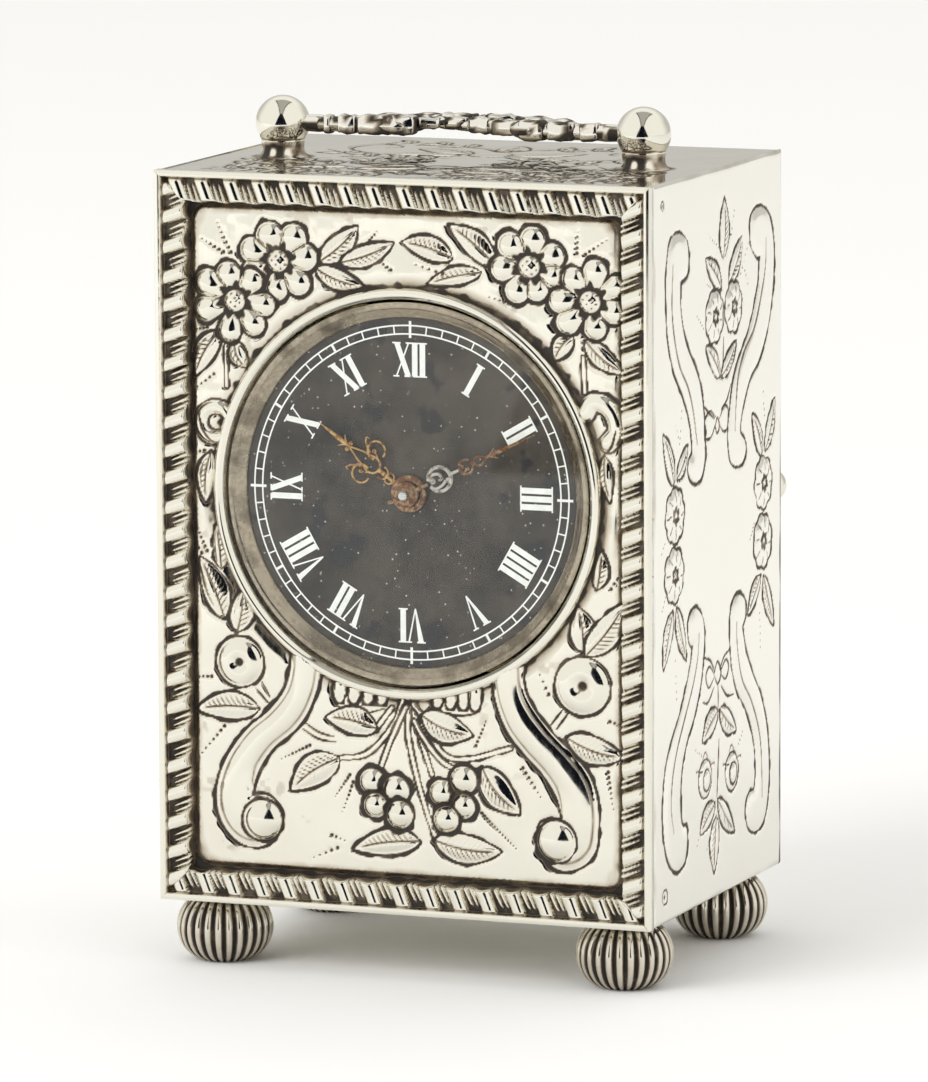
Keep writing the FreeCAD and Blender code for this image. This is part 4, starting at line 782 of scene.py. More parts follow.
def front_field(sheet):
    """The pillowed ground, its rounded frame darkened by painted shade, and painted shade round the bezel
    with a dark irregular stain close to it.
    """
    u, w = sheet.u, sheet.w
    low, high = BASE_Z + 3.95 - DIAL_Z, TOP_Z - 3.7 - DIAL_Z
    middle, tall, wide, rounding = 0.5 * (low + high), 0.5 * (high - low), HALF - 3.75, 1.9
    over_u, over_w = np.abs(u) - wide, np.abs(w - middle) - tall
    qu, qw = np.abs(u) - (wide - rounding), np.abs(w - middle) - (tall - rounding)
    edge = rounding - np.hypot(np.maximum(qu, 0), np.maximum(qw, 0)) - np.minimum(np.maximum(qu, qw), 0)
    broad = lattice_noise(u, w, 9.0, 77)
    sheet.height += 0.5 * smooth(-0.1, 0.7, edge) + 0.07 * sheet.slow + 0.10 * broad + 0.010 * sheet.hand
    # Painted shade in the groove along the field's rounded frame.
    grime_and_shade = smooth(0.22, -0.15, edge + 0.2 * sheet.hand)
    corner = np.hypot(np.maximum(over_u + 4.5, 0), np.maximum(over_w + 4.5, 0))
    # Darker towards the field's edges and its corners.
    veil = (0.34 * bell(np.maximum(edge, 0), 0.9) * (0.6 + 0.7 * sheet.slow)
            + 0.5 * smooth(2.8, 5.6, corner) * (0.8 + 0.5 * sheet.hand))
    spots = smooth(0.0, 0.6, lattice_noise(u, w, 0.7, 92) + 0.3)
    stain = smooth(0.35, 0.75, lattice_noise(u, w, 3.1, 91)) * spots
    ring = np.hypot(u, w) - BEZEL_R
    angle = np.arctan2(w, u)
    # Painted shade round the bezel, heaviest at its right and upper right; the last two terms of the darkness
    # below lay it.
    shade = 0.35 + 0.45 * bell(angle - 0.15, 0.75) + 0.25 * bell(angle - 0.9, 0.4) + 0.2 * sheet.slow
    sheet.height -= 0.45 * bell(np.maximum(ring, 0), 0.7)
    # An irregular dark stain close round the bezel.
    reach = (0.22 + 0.62 * bell(angle - 0.72, 0.5) + 0.3 * bell(angle - 2.5, 0.3)
             + 0.4 * sheet.hand + 0.15 * sheet.slow)
    sheet.dark = np.maximum.reduce([
        grime_and_shade, np.clip(veil, 0, 1), 0.26 * stain, 0.92 * smooth(0.12, -0.18, ring - reach),
        np.clip(shade + 0.45, 0, 1) * bell(np.maximum(ring, 0), 0.35),
        np.clip(shade, 0, 0.8) * bell(np.maximum(ring, 0), 1.1)])


def front_motifs(sheet):
    """Scrolls, stems, shell, flowers, fruit and punch work, laid in a chaser's order."""
    sheet.band(LEFT_OUTER, LEFT_INNER)
    sheet.band(RIGHT_OUTER, RIGHT_INNER)
    sheet.dome((-17.45, -37.85), 2.3, 1.35)
    sheet.dome((17.95, -38.15), 2.35, 1.35)
    for path in STEMS:
        sheet.stroke(path, 0.42, 0.5, 0.24)
    for start in (-8.1, -6.4, -4.7, -3.1, 3.6, 5.2, 6.8, 8.2):
        sheet.dome((start, -22.2), 0.72, 0.55, 2.4)
    sheet.cut([(-8.9, -21.6), (-8.6, -24.1), (-5.6, -25.0), (-2.6, -24.3)])
    sheet.cut([(8.9, -21.6), (8.7, -23.9), (6.2, -24.6), (3.2, -24.2)])
    angles = np.radians(np.linspace(20, 300, 22))
    sheet.stroke([(-22.9 + 1.75 * math.cos(a), 7.2 + 1.75 * math.sin(a)) for a in angles], 1.5, 0.85, 0.34)
    sheet.stroke([(21.5, 10.2), (22.2, 11.3), (23.6, 11.2), (24.8, 10.0), (25.1, 8.2), (24.1, 6.9)],
                 2.0, 0.95, 0.40)
    for base, tip, wide in LEAVES:
        sheet.leaf(base, tip, wide)
    for at, petals in FLOWERS:
        sheet.flower(at, petals, seed=int(abs(at[0]) * 7))
    sheet.dome((-20.1, -19.9), 2.8, 1.25, pit=0.75, pit_r=0.85)
    sheet.dome((21.05, -20.45), 3.2, 1.25, pit=0.95, pit_r=1.0)
    for u, w, r in BERRIES:
        sheet.dome((u, w), r, 1.25, line=0.55)
    for path in CUTS:
        sheet.cut(path)
    for start, end, count in DOT_ROWS:
        sheet.dots(start, end, count)


def front_relief():
    """The embossed front panel, cut away under the bezel."""
    edge_u = HALF - 3.1
    low, high = BASE_Z + 3.2 - DIAL_Z, TOP_Z - 3.2 - DIAL_Z
    sheet = Sheet(-edge_u, edge_u, 0.155, low, high, 0.155, 11)
    front_field(sheet)
    front_motifs(sheet)
    sheet.soften()
    plane = FRONT_Y + 2.0
    surface = np.stack([sheet.u, plane - np.minimum(sheet.height, 1.85), sheet.w + DIAL_Z], -1)
    keep = np.hypot(sheet.u, sheet.w) > BEZEL_R - 0.75
    solid = sheet_solid(surface, keep, lambda p: (p[0], plane + 0.9, p[2]), sheet.dark)
    solid.piece("front_relief", "case", "silver", SILVER, ["front_panel"])


# ---------------------------------------------------------------- gadrooned border

BAND = 3.6                       # width of the gadrooned band and its rim
RIM = 0.85                       # plain outer rim
BED = 1.25                       # depth of the recesses below the rim


def border_profile(t, along, pitch, lean):
    """Depth below the rim and darkness, t from the inner edge outwards in mm, along in mm; the darkness is
    patina in the recesses, with painted shade at the inner edge.
    """
    worked = BAND - RIM
    phase = along / pitch + lean * t / pitch
    turn = np.round(phase)
    jitter = 0.05 * np.sin(turn * 12.9898) + 0.03 * np.sin(turn * 4.1)
    x = phase - turn + 0.5 + jitter
    share = np.clip(t / worked, 0, 1)
    lobe = np.clip(1 - ((x - 0.29) / (0.30 - 0.03 * share)) ** 2, 0, 1)
    taper = smooth(-0.08, 0.35, t) * smooth(worked + 0.12, worked - 0.25, t)
    big = lobe ** 0.38 * (0.5 + 0.5 * taper)
    darts = np.zeros(x.shape)
    for middle, wide in ((0.68, 0.085), (0.88, 0.09)):      # two darts between each pair of lobes
        half = wide * (1 - share) ** 1.15 + 0.012
        across = x - middle + 0.03 * share
        darts = np.maximum(darts, np.clip(1 - (across / half) ** 2, 0, 1) ** 0.5 * (0.84 - 0.5 * share))
    darts = darts * smooth(-0.05, 0.3, t) * smooth(worked * 0.9, worked * 0.65, t)
    shape = np.maximum(big, darts)
    depth = BED * (1 - shape) * (1 - 0.25 * share)
    oxide_and_shade = 0.92 * smooth(0.38, 0.06, shape) * (0.82 + 0.18 * share)
    rim = smooth(worked - 0.06, worked + 0.16, t)
    bead = 0.16 * (1 - np.sqrt(np.clip(1 - ((t - worked - RIM / 2) / (RIM / 2 + 0.02)) ** 2, 0, 1)))
    seam = bell(t - worked - 0.04, 0.11)
    depth = depth * (1 - rim) + bead * rim + 0.15 * seam
    oxide_and_shade = np.maximum(oxide_and_shade * (1 - rim), 0.55 * seam)
    # Painted shade down the inner wall, in the groove to the front panel.
    inner = smooth(0.22, -0.05, t)
    return depth * (1 - inner) + 1.55 * inner, np.maximum(oxide_and_shade, 0.9 * inner)


def border_side(solid, start, end, inward, lobes):
    """One mitred side between outer corners start and end, seen from the front."""
    start, end, inward = np.array(start, float), np.array(end, float), np.array(inward, float)
    run = end - start
    length = np.hypot(*run)
    run = run / length
    margin = 0.6                 # plain metal before the first and after the last lobe
    pitch = (length - 2 * margin) / lobes
    on_rim = BAND - RIM + RIM * np.array([-0.05, 0.05, 0.16, 0.35, 0.55, 0.75, 0.87, 0.95, 1.0])
    ts = np.concatenate([[-0.25, -0.12, 0.0], np.linspace(0.12, BAND - RIM - 0.12, 20), on_rim])
    t, s = np.meshgrid(ts, np.linspace(0, 1, int(length / 0.125) + 1), indexing="ij")
    reach = BAND - t
    along = reach + s * (length - 2 * reach)
    depth, oxide_and_shade = border_profile(t, along - margin, pitch, 0.38)
    wobble = 0.12 * np.cos((along - margin) * 2 * math.pi / pitch - 1.9) * smooth(1.0, 0.0, t)
    x = start[0] + run[0] * along + inward[0] * (reach + wobble)
    z = start[1] + run[1] * along + inward[1] * (reach + wobble)
    y = FRONT_Y + depth
    y[0] = y[1] = FRONT_Y + 2.6
    # Painted shade on the inner wall's two rows.
    oxide_and_shade[:2] = 1.0
    front = np.stack([x, y, z], -1)
    back = front[-1:].copy()
    back[..., 1] = FRONT_Y + 1.5
    grid = np.concatenate([front, back], 0)
    rows, cols = grid.shape[:2]
    last = cols * (rows - 1)
    faces = ring_faces(rows, cols, False, False)
    faces += [(last + j, last + j + 1, j + 1, j) for j in range(cols - 1)]
    faces.append(tuple(cols * i for i in range(rows)))
    faces.append(tuple(cols * i + cols - 1 for i in range(rows - 1, -1, -1)))
    values = np.concatenate([oxide_and_shade, np.zeros((1, cols))], 0)
    solid.add(grid.reshape(-1, 3), faces, values.reshape(-1))


def gadroon_border():
    """Four mitred sides, worked round clockwise from the top left."""
    solid = Solid()
    corners = [(-HALF, TOP_Z), (HALF, TOP_Z), (HALF, BASE_Z), (-HALF, BASE_Z)]
    for k, (inward, lobes) in enumerate((((0, -1), 17), ((-1, 0), 25), ((0, 1), 17), ((1, 0), 25))):
        border_side(solid, corners[k], corners[(k + 1) % 4], inward, lobes)
    solid.piece("border_gadroons", "case", "silver", SILVER_SMOOTH, ["gadroon_border"])


# ---------------------------------------------------------------- bezel, dial

def bezel():
    """Turned bezel: a rounded rim that rolls in to a narrow lip over the glass."""
    front, seat = BEZEL_LOW[1], FRONT_Y + 2.4
    r_out, r_in = BEZEL_R, BEZEL_R - 1.45
    rounding = [(r_out, 0.95), (r_out - 0.06, 0.62), (r_out - 0.2, 0.32), (r_out - 0.42, 0.1),
                (r_out - 0.68, 0.0), (r_out - 0.92, 0.06), (r_out - 1.12, 0.26), (r_in + 0.14, 0.5),
                (r_in + 0.06, 0.8), (r_in, 1.0)]
    fine = curve([(r, front + depth) for r, depth in rounding], 4)
    profile = np.vstack([[(r_out, seat)], fine, [(r_in, seat)]])
    oxide_and_shade = np.where(profile[:, 1] > front + 0.9, 0.25, 0.0)
    solid = Solid()
    solid.add(*lathe(profile, (0, DIAL_Z), "y", 256, True, oxide_and_shade))
    solid.piece("bezel_ring", "case", "silver", SILVER_SMOOTH, ["bezel"])


def radial(points, hour):
    """Points given as (across, outwards) round to an hour's place on the dial."""
    a = math.radians(30 * hour)
    p = np.asarray(points, float)
    return np.column_stack([p[:, 0] * math.cos(a) + p[:, 1] * math.sin(a),
                            DIAL_Z + p[:, 1] * math.cos(a) - p[:, 0] * math.sin(a)])


FIGURE_IN, FIGURE_OUT = 13.05, 16.95                    # radii of the figures' feet and heads
INK_BACK, INK_FRONT = FACE_DIAL + 0.01, FACE_DIAL - 0.025   # the paint stands just proud of the dial
NUMERALS = ["XII", "I", "II", "III", "IIII", "V", "VI", "VII", "VIII", "IX", "X", "XI"]


def bar(x0, x1, r0, r1, half0, half1=None):
    """A stroke from (x0, r0) to (x1, r1) with its half widths, the same at both ends unless two are given."""
    half1 = half0 if half1 is None else half1
    return [(x0 - half0, r0), (x0 + half0, r0), (x1 + half1, r1), (x1 - half1, r1)]


def letter(kind, x):
    """Strokes of one Roman letter centred at x, its feet towards the dial's centre."""
    r0, r1, serif = FIGURE_IN, FIGURE_OUT, 0.17
    if kind == "I":
        return [bar(x, x, r0, r1, 0.33), bar(x, x, r0, r0 + serif, 0.54), bar(x, x, r1 - serif, r1, 0.54)]
    if kind == "V":
        return [bar(x, x - 0.72, r0, r1, 0.08, 0.33), bar(x, x + 0.78, r0, r1, 0.07, 0.10),
                bar(x - 0.72, x - 0.72, r1 - serif, r1, 0.52), bar(x + 0.78, x + 0.78, r1 - serif, r1, 0.36)]
    return [bar(x + 0.72, x - 0.72, r0, r1, 0.33), bar(x - 0.75, x + 0.75, r0, r1, 0.09),
            bar(x + 0.72, x + 0.72, r0, r0 + serif, 0.5), bar(x - 0.75, x - 0.75, r0, r0 + serif, 0.36),
            bar(x - 0.72, x - 0.72, r1 - serif, r1, 0.5), bar(x + 0.75, x + 0.75, r1 - serif, r1, 0.36)]


def numerals():
    """The twelve hours. Crossing strokes differ a little in height, so that none lie in one plane."""
    solid = Solid()
    widths = {"I": 0.92, "V": 2.0, "X": 2.0}
    layer = 0
    for hour, text in enumerate(NUMERALS):
        x = -sum(widths[c] for c in text) / 2
        for c in text:
            for stroke in letter(c, x + widths[c] / 2):
                layer += 1
                solid.add(*plate(radial(stroke, hour), INK_FRONT - 0.001 * (layer % 5), INK_BACK))
            x += widths[c]
    solid.piece("dial_numerals", "case", "dial_black", FIGURES, (), True)


def minute_track():
    """Two rings with a tick at each minute, longer at the quarters."""
    solid = Solid()
    inner_ring, outer_ring, line = 17.9, 18.85, 0.09
    for r in (inner_ring, outer_ring):
        profile = [(r - line, INK_BACK), (r - line, INK_FRONT), (r + line, INK_FRONT), (r + line, INK_BACK)]
        solid.add(*lathe(profile, (0, DIAL_Z), "y", 240, True))
    for minute in range(60):
        half = 0.15 if minute % 5 == 0 else 0.08
        outer = 19.35 if minute % 15 == 0 else 18.9
        inner = 17.45 if minute % 15 == 0 else inner_ring
        solid.add(*plate(radial(bar(0, 0, inner, outer, half), minute / 5), INK_FRONT - 0.004, INK_BACK))
    solid.piece("dial_minute_track", "case", "dial_black", FIGURES, (), True)


def dial_and_reflector():
    """The dial's plate with its centre hole, and the sloping ring between dial and glass."""
    solid = Solid()
    r, back = DIAL_HIGH[0] - 0.02, FACE_DIAL + 0.6
    hole = [(0.95, FACE_DIAL + 0.4), (0.95, FACE_DIAL + 0.02), (1.05, FACE_DIAL)]
    face = [(x, FACE_DIAL) for x in np.linspace(2, r - 0.2, 12)]
    rim = [(r, FACE_DIAL + 0.1), (r, back), (0.95, back)]
    solid.add(*lathe(hole + face + rim, (0, DIAL_Z), "y", 160, True))
    solid.piece("dial_face", "case", "dial_black", DIAL, ["dial"])
    solid = Solid()
    outer, inner = 21.6, 19.72
    slope = curve([(outer, FACE_DIAL - 1.2), (21.35, FACE_DIAL - 1.23), (21.0, FACE_DIAL - 1.18),
                   (20.78, FACE_DIAL - 1.0), (20.4, FACE_DIAL - 0.72), (20.05, FACE_DIAL - 0.45),
                   (19.84, FACE_DIAL - 0.3), (inner, FACE_DIAL - 0.12)], 4)
    rows = np.vstack([[(outer, FACE_DIAL)], slope, [(inner, FACE_DIAL)]])
    solid.add(*lathe(rows, (0, DIAL_Z), "y", 200, True))
    solid.piece("reflector_slope", "case", "gilt_reflector", REFLECTOR, ["reflector_ring"])


# ---------------------------------------------------------------- finials and feet

def finial(side):
    """A ball on a narrow waisted skirt, with dark blotches low down."""
    node = "left_finial" if side < 0 else "right_finial"
    low, high = node_box(node)
    x, y = 0.5 * (low[0] + high[0]), 0.5 * (low[1] + high[1])
    ball, waist = 3.1, 2.45
    centre, base = high[2] - ball, CASE_HIGH[2]
    start = -math.acos(waist / ball)
    rows, dark = [(0.0, base - 0.1), (3.4, base - 0.1)], [0.9, 0.9]
    skirt = curve([(3.15, base + 0.02), (3.0, base + 0.18), (2.66, base + 0.42), (2.46, base + 0.8),
                   (2.4, base + 1.25), (2.44, base + 1.6), (2.5, base + 2.0)], 5)
    for p in skirt[skirt[:, 1] < centre + ball * math.sin(start)]:
        rows.append(tuple(p))
        dark.append(0.7 * smooth(base + 2.2, base + 1.2, p[1]))
    for a in np.linspace(start, math.pi / 2, 48):
        rows.append((ball * math.cos(a) if a < math.pi / 2 - 1e-6 else 0.0, centre + ball * math.sin(a)))
        dark.append(0.5 * smooth(start + 0.14, start, a))
    points, faces, values = lathe(rows, (x, y), "z", 96, False, dark)
    around = np.arctan2(points[:, 1] - y, points[:, 0] - x)
    blotch = lattice_noise(around * 3.0 + 40, points[:, 2] * 0.9, 1.0, 8)
    solid = Solid()
    solid.add(points, faces, np.clip(values * (0.8 + 1.6 * blotch), 0, 1))
    solid.piece("finial_left" if side < 0 else "finial_right", "case", "silver", SILVER_SMOOTH, [node])


def foot(node):
    """Flattened ball with upright flutes, dark between them."""
    low, high = node_box(node)
    x, y, r = 0.5 * (low[0] + high[0]), 0.5 * (low[1] + high[1]), 0.5 * (high[0] - low[0])
    bottom, top = low[2], BASE_Z
    middle, half = 0.5 * (bottom + top), 0.5 * (top - bottom)
    ribs, around, rows = 26, 26 * 14, 44
    lowest, highest = -1.18, 1.25
    angles = np.arange(around) * 2 * math.pi / around
    lat = lowest + np.linspace(0, 1, rows) * (highest - lowest)
    z = np.clip(middle + half * np.sin(lat) / math.sin(1.22), bottom, top + 0.1)
    smooth_r = r * np.cos(lat * 0.97) ** 0.72
    rib = np.abs(np.sin(0.5 * ribs * angles))[None, :]
    strength = smooth(0.30, 0.62, smooth_r / r)[:, None]
    radius = smooth_r[:, None] - 0.62 * (1 - rib ** 0.75) * strength
    points = np.stack([x + radius * np.cos(angles), y + radius * np.sin(angles),
                       np.broadcast_to(z[:, None], radius.shape)], -1).reshape(-1, 3)
    low_down = 0.8 + 0.3 * smooth(0.2, -0.9, lat)[:, None]
    oxide_and_shade = (0.9 * smooth(0.84, 0.42, rib) + 0.29) * strength * low_down
    faces = ring_faces(rows, around)
    faces.append(tuple(range(around))[::-1])
    faces.append(tuple(range((rows - 1) * around, rows * around)))
    solid = Solid()
    solid.add(points, faces, oxide_and_shade.reshape(-1))
    solid.piece("fluted_" + node, "case", "silver", SILVER_SMOOTH, [node])


# ---------------------------------------------------------------- engraved sides, top and door

SIDE_X = 29.48                   # half the width over the plain ground of the side sheets
TOP_HALF = 29.3                  # half the width of the top sheet
FINIAL_X, FINIAL_DEPTH = 21.8, -2.85    # where the finials stand, in case depth


def outlined(sheet, points):
    """A low plateau inside a closed outline."""
    loop = curve(points, 5)
    win = sheet.around(loop, 1.2)
    u, w = sheet.u[win], sheet.w[win]
    d = to_line(u, w, np.vstack([loop, loop[:1]]))[0]
    inside = np.where(within(u, w, loop), d, -d)
    sheet.put(win, inside, 0.18 * smooth(0.0, 1.3, inside), 0.0, 0.40, 0.12)


SIDE_SCROLLS = [
    [(-12.0, 79.1), (-9.7, 79.8), (-9.3, 82.1), (-10.4, 83.8), (-13.4, 84.6), (-15.6, 83.6), (-16.6, 80.6),
     (-16.6, 76.6), (-16.1, 73.1), (-14.4, 69.6), (-11.6, 66.6), (-9.9, 64.6), (-8.6, 62.1), (-8.1, 59.6),
     (-9.3, 58.6), (-9.3, 57.1), (-7.4, 56.0), (-5.1, 56.3), (-3.9, 58.1), (-3.9, 60.1), (-4.1, 63.1),
     (-5.4, 66.6), (-7.4, 69.1), (-9.9, 71.6), (-11.3, 74.1), (-12.0, 76.6)],
    [(14.8, 79.0), (13.3, 79.3), (11.6, 80.9), (11.6, 83.6), (13.1, 84.6), (15.6, 84.6), (18.1, 83.3),
     (19.5, 80.6), (19.7, 77.6), (19.1, 74.1), (17.6, 70.6), (14.6, 67.3), (11.6, 65.6), (9.1, 62.6),
     (8.1, 59.9), (9.6, 58.6), (10.0, 57.3), (8.6, 56.1), (6.3, 56.1), (4.6, 57.1), (3.9, 59.6), (4.4, 62.1),
     (5.6, 65.6), (7.6, 68.1), (10.6, 70.6), (12.6, 73.1), (14.3, 76.1)],
    [(-7.9, 37.6), (-9.1, 38.1), (-9.6, 40.1), (-8.6, 41.4), (-6.9, 41.7), (-4.9, 40.6), (-4.0, 38.6),
     (-4.4, 35.6), (-5.4, 32.6), (-7.4, 29.6), (-9.9, 27.1), (-11.6, 24.1), (-12.1, 20.6), (-11.6, 17.9),
     (-10.1, 17.3), (-9.8, 15.6), (-10.6, 13.6), (-12.9, 12.9), (-15.1, 13.6), (-16.9, 15.6), (-17.8, 18.6),
     (-17.8, 21.6), (-16.9, 25.1), (-14.9, 27.8), (-12.1, 30.6), (-9.9, 33.6), (-8.4, 36.1)],
    [(8.8, 37.3), (10.0, 38.6), (9.6, 40.3), (7.6, 41.2), (5.8, 40.8), (4.7, 39.1), (4.7, 36.1), (5.3, 33.1),
     (7.1, 30.1), (10.1, 27.6), (12.3, 24.6), (13.3, 21.6), (13.1, 18.1), (11.1, 17.6), (10.1, 16.1),
     (10.6, 14.1), (12.6, 13.0), (15.1, 13.1), (17.1, 14.6), (18.1, 18.1), (18.0, 21.6), (17.1, 25.1),
     (15.1, 28.6), (12.6, 31.1), (10.1, 34.1)],
]
SIDE_RULES = [
    [(-14.9, 81.5), (-15.3, 77.0), (-14.6, 73.4), (-12.8, 69.8), (-10.0, 67.0), (-8.2, 64.0), (-6.9, 60.2)],
    [(16.3, 81.0), (16.2, 78.0), (15.0, 75.0), (12.5, 71.2), (9.0, 68.6), (6.9, 66.0), (6.0, 62.5),
     (5.8, 60.2)],
    [(-6.4, 38.8), (-6.8, 36.2), (-8.4, 33.2), (-11.0, 30.0), (-13.6, 26.8), (-15.2, 23.6), (-15.6, 20.2),
     (-14.7, 17.3)],
    [(6.4, 38.2), (6.6, 35.2), (8.2, 31.4), (11.2, 28.6), (13.6, 25.4), (14.8, 22.2), (15.2, 16.6)],
]
SIDE_LEAVES = [
    ((2.3, 80.2), (2.6, 86.8), 3.0), ((1.6, 76.9), (-3.5, 80.6), 2.3), ((4.4, 77.2), (8.8, 82.0), 2.6),
    ((1.2, 66.9), (-3.4, 70.8), 2.2), ((1.9, 66.9), (6.6, 70.2), 2.0),
    ((-14.2, 56.6), (-17.7, 62.6), 2.4), ((-13.0, 57.2), (-9.7, 60.4), 2.0),
    ((15.6, 56.2), (12.3, 61.2), 2.3), ((16.8, 56.6), (20.0, 62.2), 2.3),
    ((-14.6, 42.4), (-17.6, 36.4), 2.5), ((-13.2, 42.6), (-10.2, 36.4), 2.3),
    ((15.0, 42.2), (10.9, 38.4), 2.1), ((16.2, 42.0), (19.6, 36.0), 2.3),
    ((0.4, 28.9), (-4.6, 26.2), 2.6), ((1.2, 28.9), (6.6, 25.8), 2.6),
    ((-0.6, 18.4), (-5.4, 15.8), 2.4), ((0.6, 18.6), (6.0, 14.2), 2.4), ((-0.1, 16.8), (-0.8, 10.6), 2.8),
]
SIDE_ROSES = [(-0.65, 73.9, 3.0), (5.7, 74.3, 2.9), (-13.9, 53.1, 3.1), (-14.1, 46.4, 3.1),
              (16.0, 52.9, 3.0), (15.8, 46.2, 3.1)]
SIDE_CUTS = [
    [(-4.2, 64.2), (-2.4, 63.2), (-0.8, 62.4)], [(4.9, 65.6), (3.4, 63.9), (1.6, 63.2)],
    [(-0.5, 62.6), (-2.2, 63.4), (-4.0, 62.4), (-3.8, 60.6), (-2.0, 60.4), (-0.5, 61.6)],
    [(0.7, 62.0), (2.6, 63.4), (4.0, 62.8), (3.8, 60.8), (2.2, 60.6), (0.9, 61.6)],
    [(-0.5, 61.4), (0.2, 62.4), (1.0, 61.4), (0.2, 60.6), (-0.5, 61.4)],
    [(-3.9, 35.6), (-2.0, 35.0), (-0.6, 33.6)], [(4.6, 35.4), (2.6, 34.8), (1.2, 33.6)],
    [(-0.8, 33.4), (-2.4, 34.4), (-3.6, 33.4), (-2.6, 32.0), (-0.9, 32.8)],
    [(1.6, 33.4), (3.2, 34.4), (4.2, 33.4), (3.2, 32.2), (1.7, 32.8)],
    [(-0.8, 33.2), (0.3, 34.6), (1.6, 33.2), (0.5, 32.0), (-0.8, 33.2)],
    [(-0.8, 31.8), (-2.8, 30.4), (-4.6, 30.6)], [(1.6, 31.6), (3.6, 30.2), (5.8, 30.0)],
    [(0.6, 32.0), (0.6, 29.0)], [(2.4, 71.2), (2.3, 68.0)], [(0.8, 25.6), (0.2, 19.0)],
]
SIDE_DOTS = [((-2.8, 83.3), (0.6, 81.6), 6), ((-4.2, 78.3), (-2.2, 77.4), 5),
             ((6.0, 85.2), (4.9, 82.6), 5), ((10.9, 81.0), (8.2, 77.8), 6),
             ((10.6, 76.4), (9.6, 78.0), 4), ((-6.6, 74.6), (-4.4, 73.0), 5),
             ((-13.9, 64.0), (-12.4, 61.0), 5), ((-11.6, 64.6), (-12.2, 61.6), 5),
             ((16.0, 63.4), (16.4, 60.6), 5), ((-18.7, 49.0), (-17.2, 50.4), 4),
             ((-18.2, 43.0), (-17.0, 44.4), 4), ((11.4, 47.0), (12.8, 48.6), 5),
             ((-13.8, 36.8), (-13.4, 32.4), 6), ((14.8, 38.0), (15.0, 34.0), 6),
             ((-7.0, 25.6), (-4.6, 24.4), 5), ((8.8, 25.2), (7.4, 24.0), 4),
             ((-6.6, 14.6), (-5.2, 16.4), 4), ((-3.2, 13.6), (-2.2, 14.8), 4)]


def rose(sheet, at, r):
    """Flat flower: eight shallow lobes parted by lines, and a dark ragged eye."""
    win = sheet.window((at[0] - r, at[1] - r), (at[0] + r, at[1] + r))
    u, w = sheet.u[win] - at[0], sheet.w[win] - at[1]
    d, angle = np.hypot(u, w), np.arctan2(w, u)
    rim = r * (0.90 + 0.10 * np.abs(np.cos(4 * angle + at[1])))
    sheet.put(win, rim - d, 0.16 * smooth(0, 1.0, rim - d), 0.0, 0.34, 0.10)
    ragged = 0.95 + 0.22 * np.sin(6 * angle + at[0]) + 0.12 * np.sin(11 * angle)
    eye = smooth(0.15, -0.12, np.abs(d - 0.72 * ragged) - 0.34)
    sheet.height[win] -= 0.08 * eye
    sheet.dark[win] = np.maximum(sheet.dark[win], 0.9 * eye)
    for k in range(8):
        a = 2 * math.pi * k / 8 + at[1] / 4
        line = [(at[0] + share * r * math.cos(turn), at[1] + share * r * math.sin(turn))
                for share, turn in ((0.5, a), (0.86, a + 0.12))]
        sheet.cut(line, 0.12, 0.07, 0.8)


def side_motifs(sheet):
    """Scrolls, leaves, roses, bows and fruit, engraved round an empty middle."""
    for points in SIDE_SCROLLS:
        outlined(sheet, points)
    for path in SIDE_RULES:
        sheet.cut(path, 0.20, 0.08, 0.75)
    for base, tip, wide in SIDE_LEAVES:
        sheet.leaf(base, tip, wide, 0.14, 0.10, 0.32)
    for u, w, r in SIDE_ROSES:
        rose(sheet, (u, w), r)
    for at in ((-3.8, 21.8), (5.2, 21.2)):
        sheet.dome(at, 2.1, 0.14, line=0.26)
        sheet.dome((at[0] + 0.3, at[1] - 0.2), 1.1, 0.22, line=0.30)
        for a in (0.5, 1.6, 2.7):
            x, z = at[0] + 2.2 * math.cos(a), at[1] + 2.2 * math.sin(a)
            peak = (at[0] + 3.3 * math.cos(a), at[1] + 3.1 * math.sin(a))
            sheet.cut([(x - 0.9, z), peak, (x + 0.9, z)], 0.12, 0.08, 0.85)
    for path in SIDE_CUTS:
        sheet.cut(path, 0.20, 0.10)
    for start, end, count in SIDE_DOTS:
        sheet.dots(start, end, count, 0.09, 0.16, 0.07)
    sheet.dome((-17.2, 10.6), 0.75, 0.08, pit=0.4, pit_r=0.45, line=0.2)
    sheet.dome((-17.8, 88.1), 0.4, 0.05, pit=0.1, pit_r=0.3, line=0.2)


def rolled(edge, high, reach):
    """How far a sheet's edge rolls over."""
    return high * (1 - np.sqrt(np.clip(1 - (1 - np.clip(edge / reach, 0, 1)) ** 2, 0, 1)))


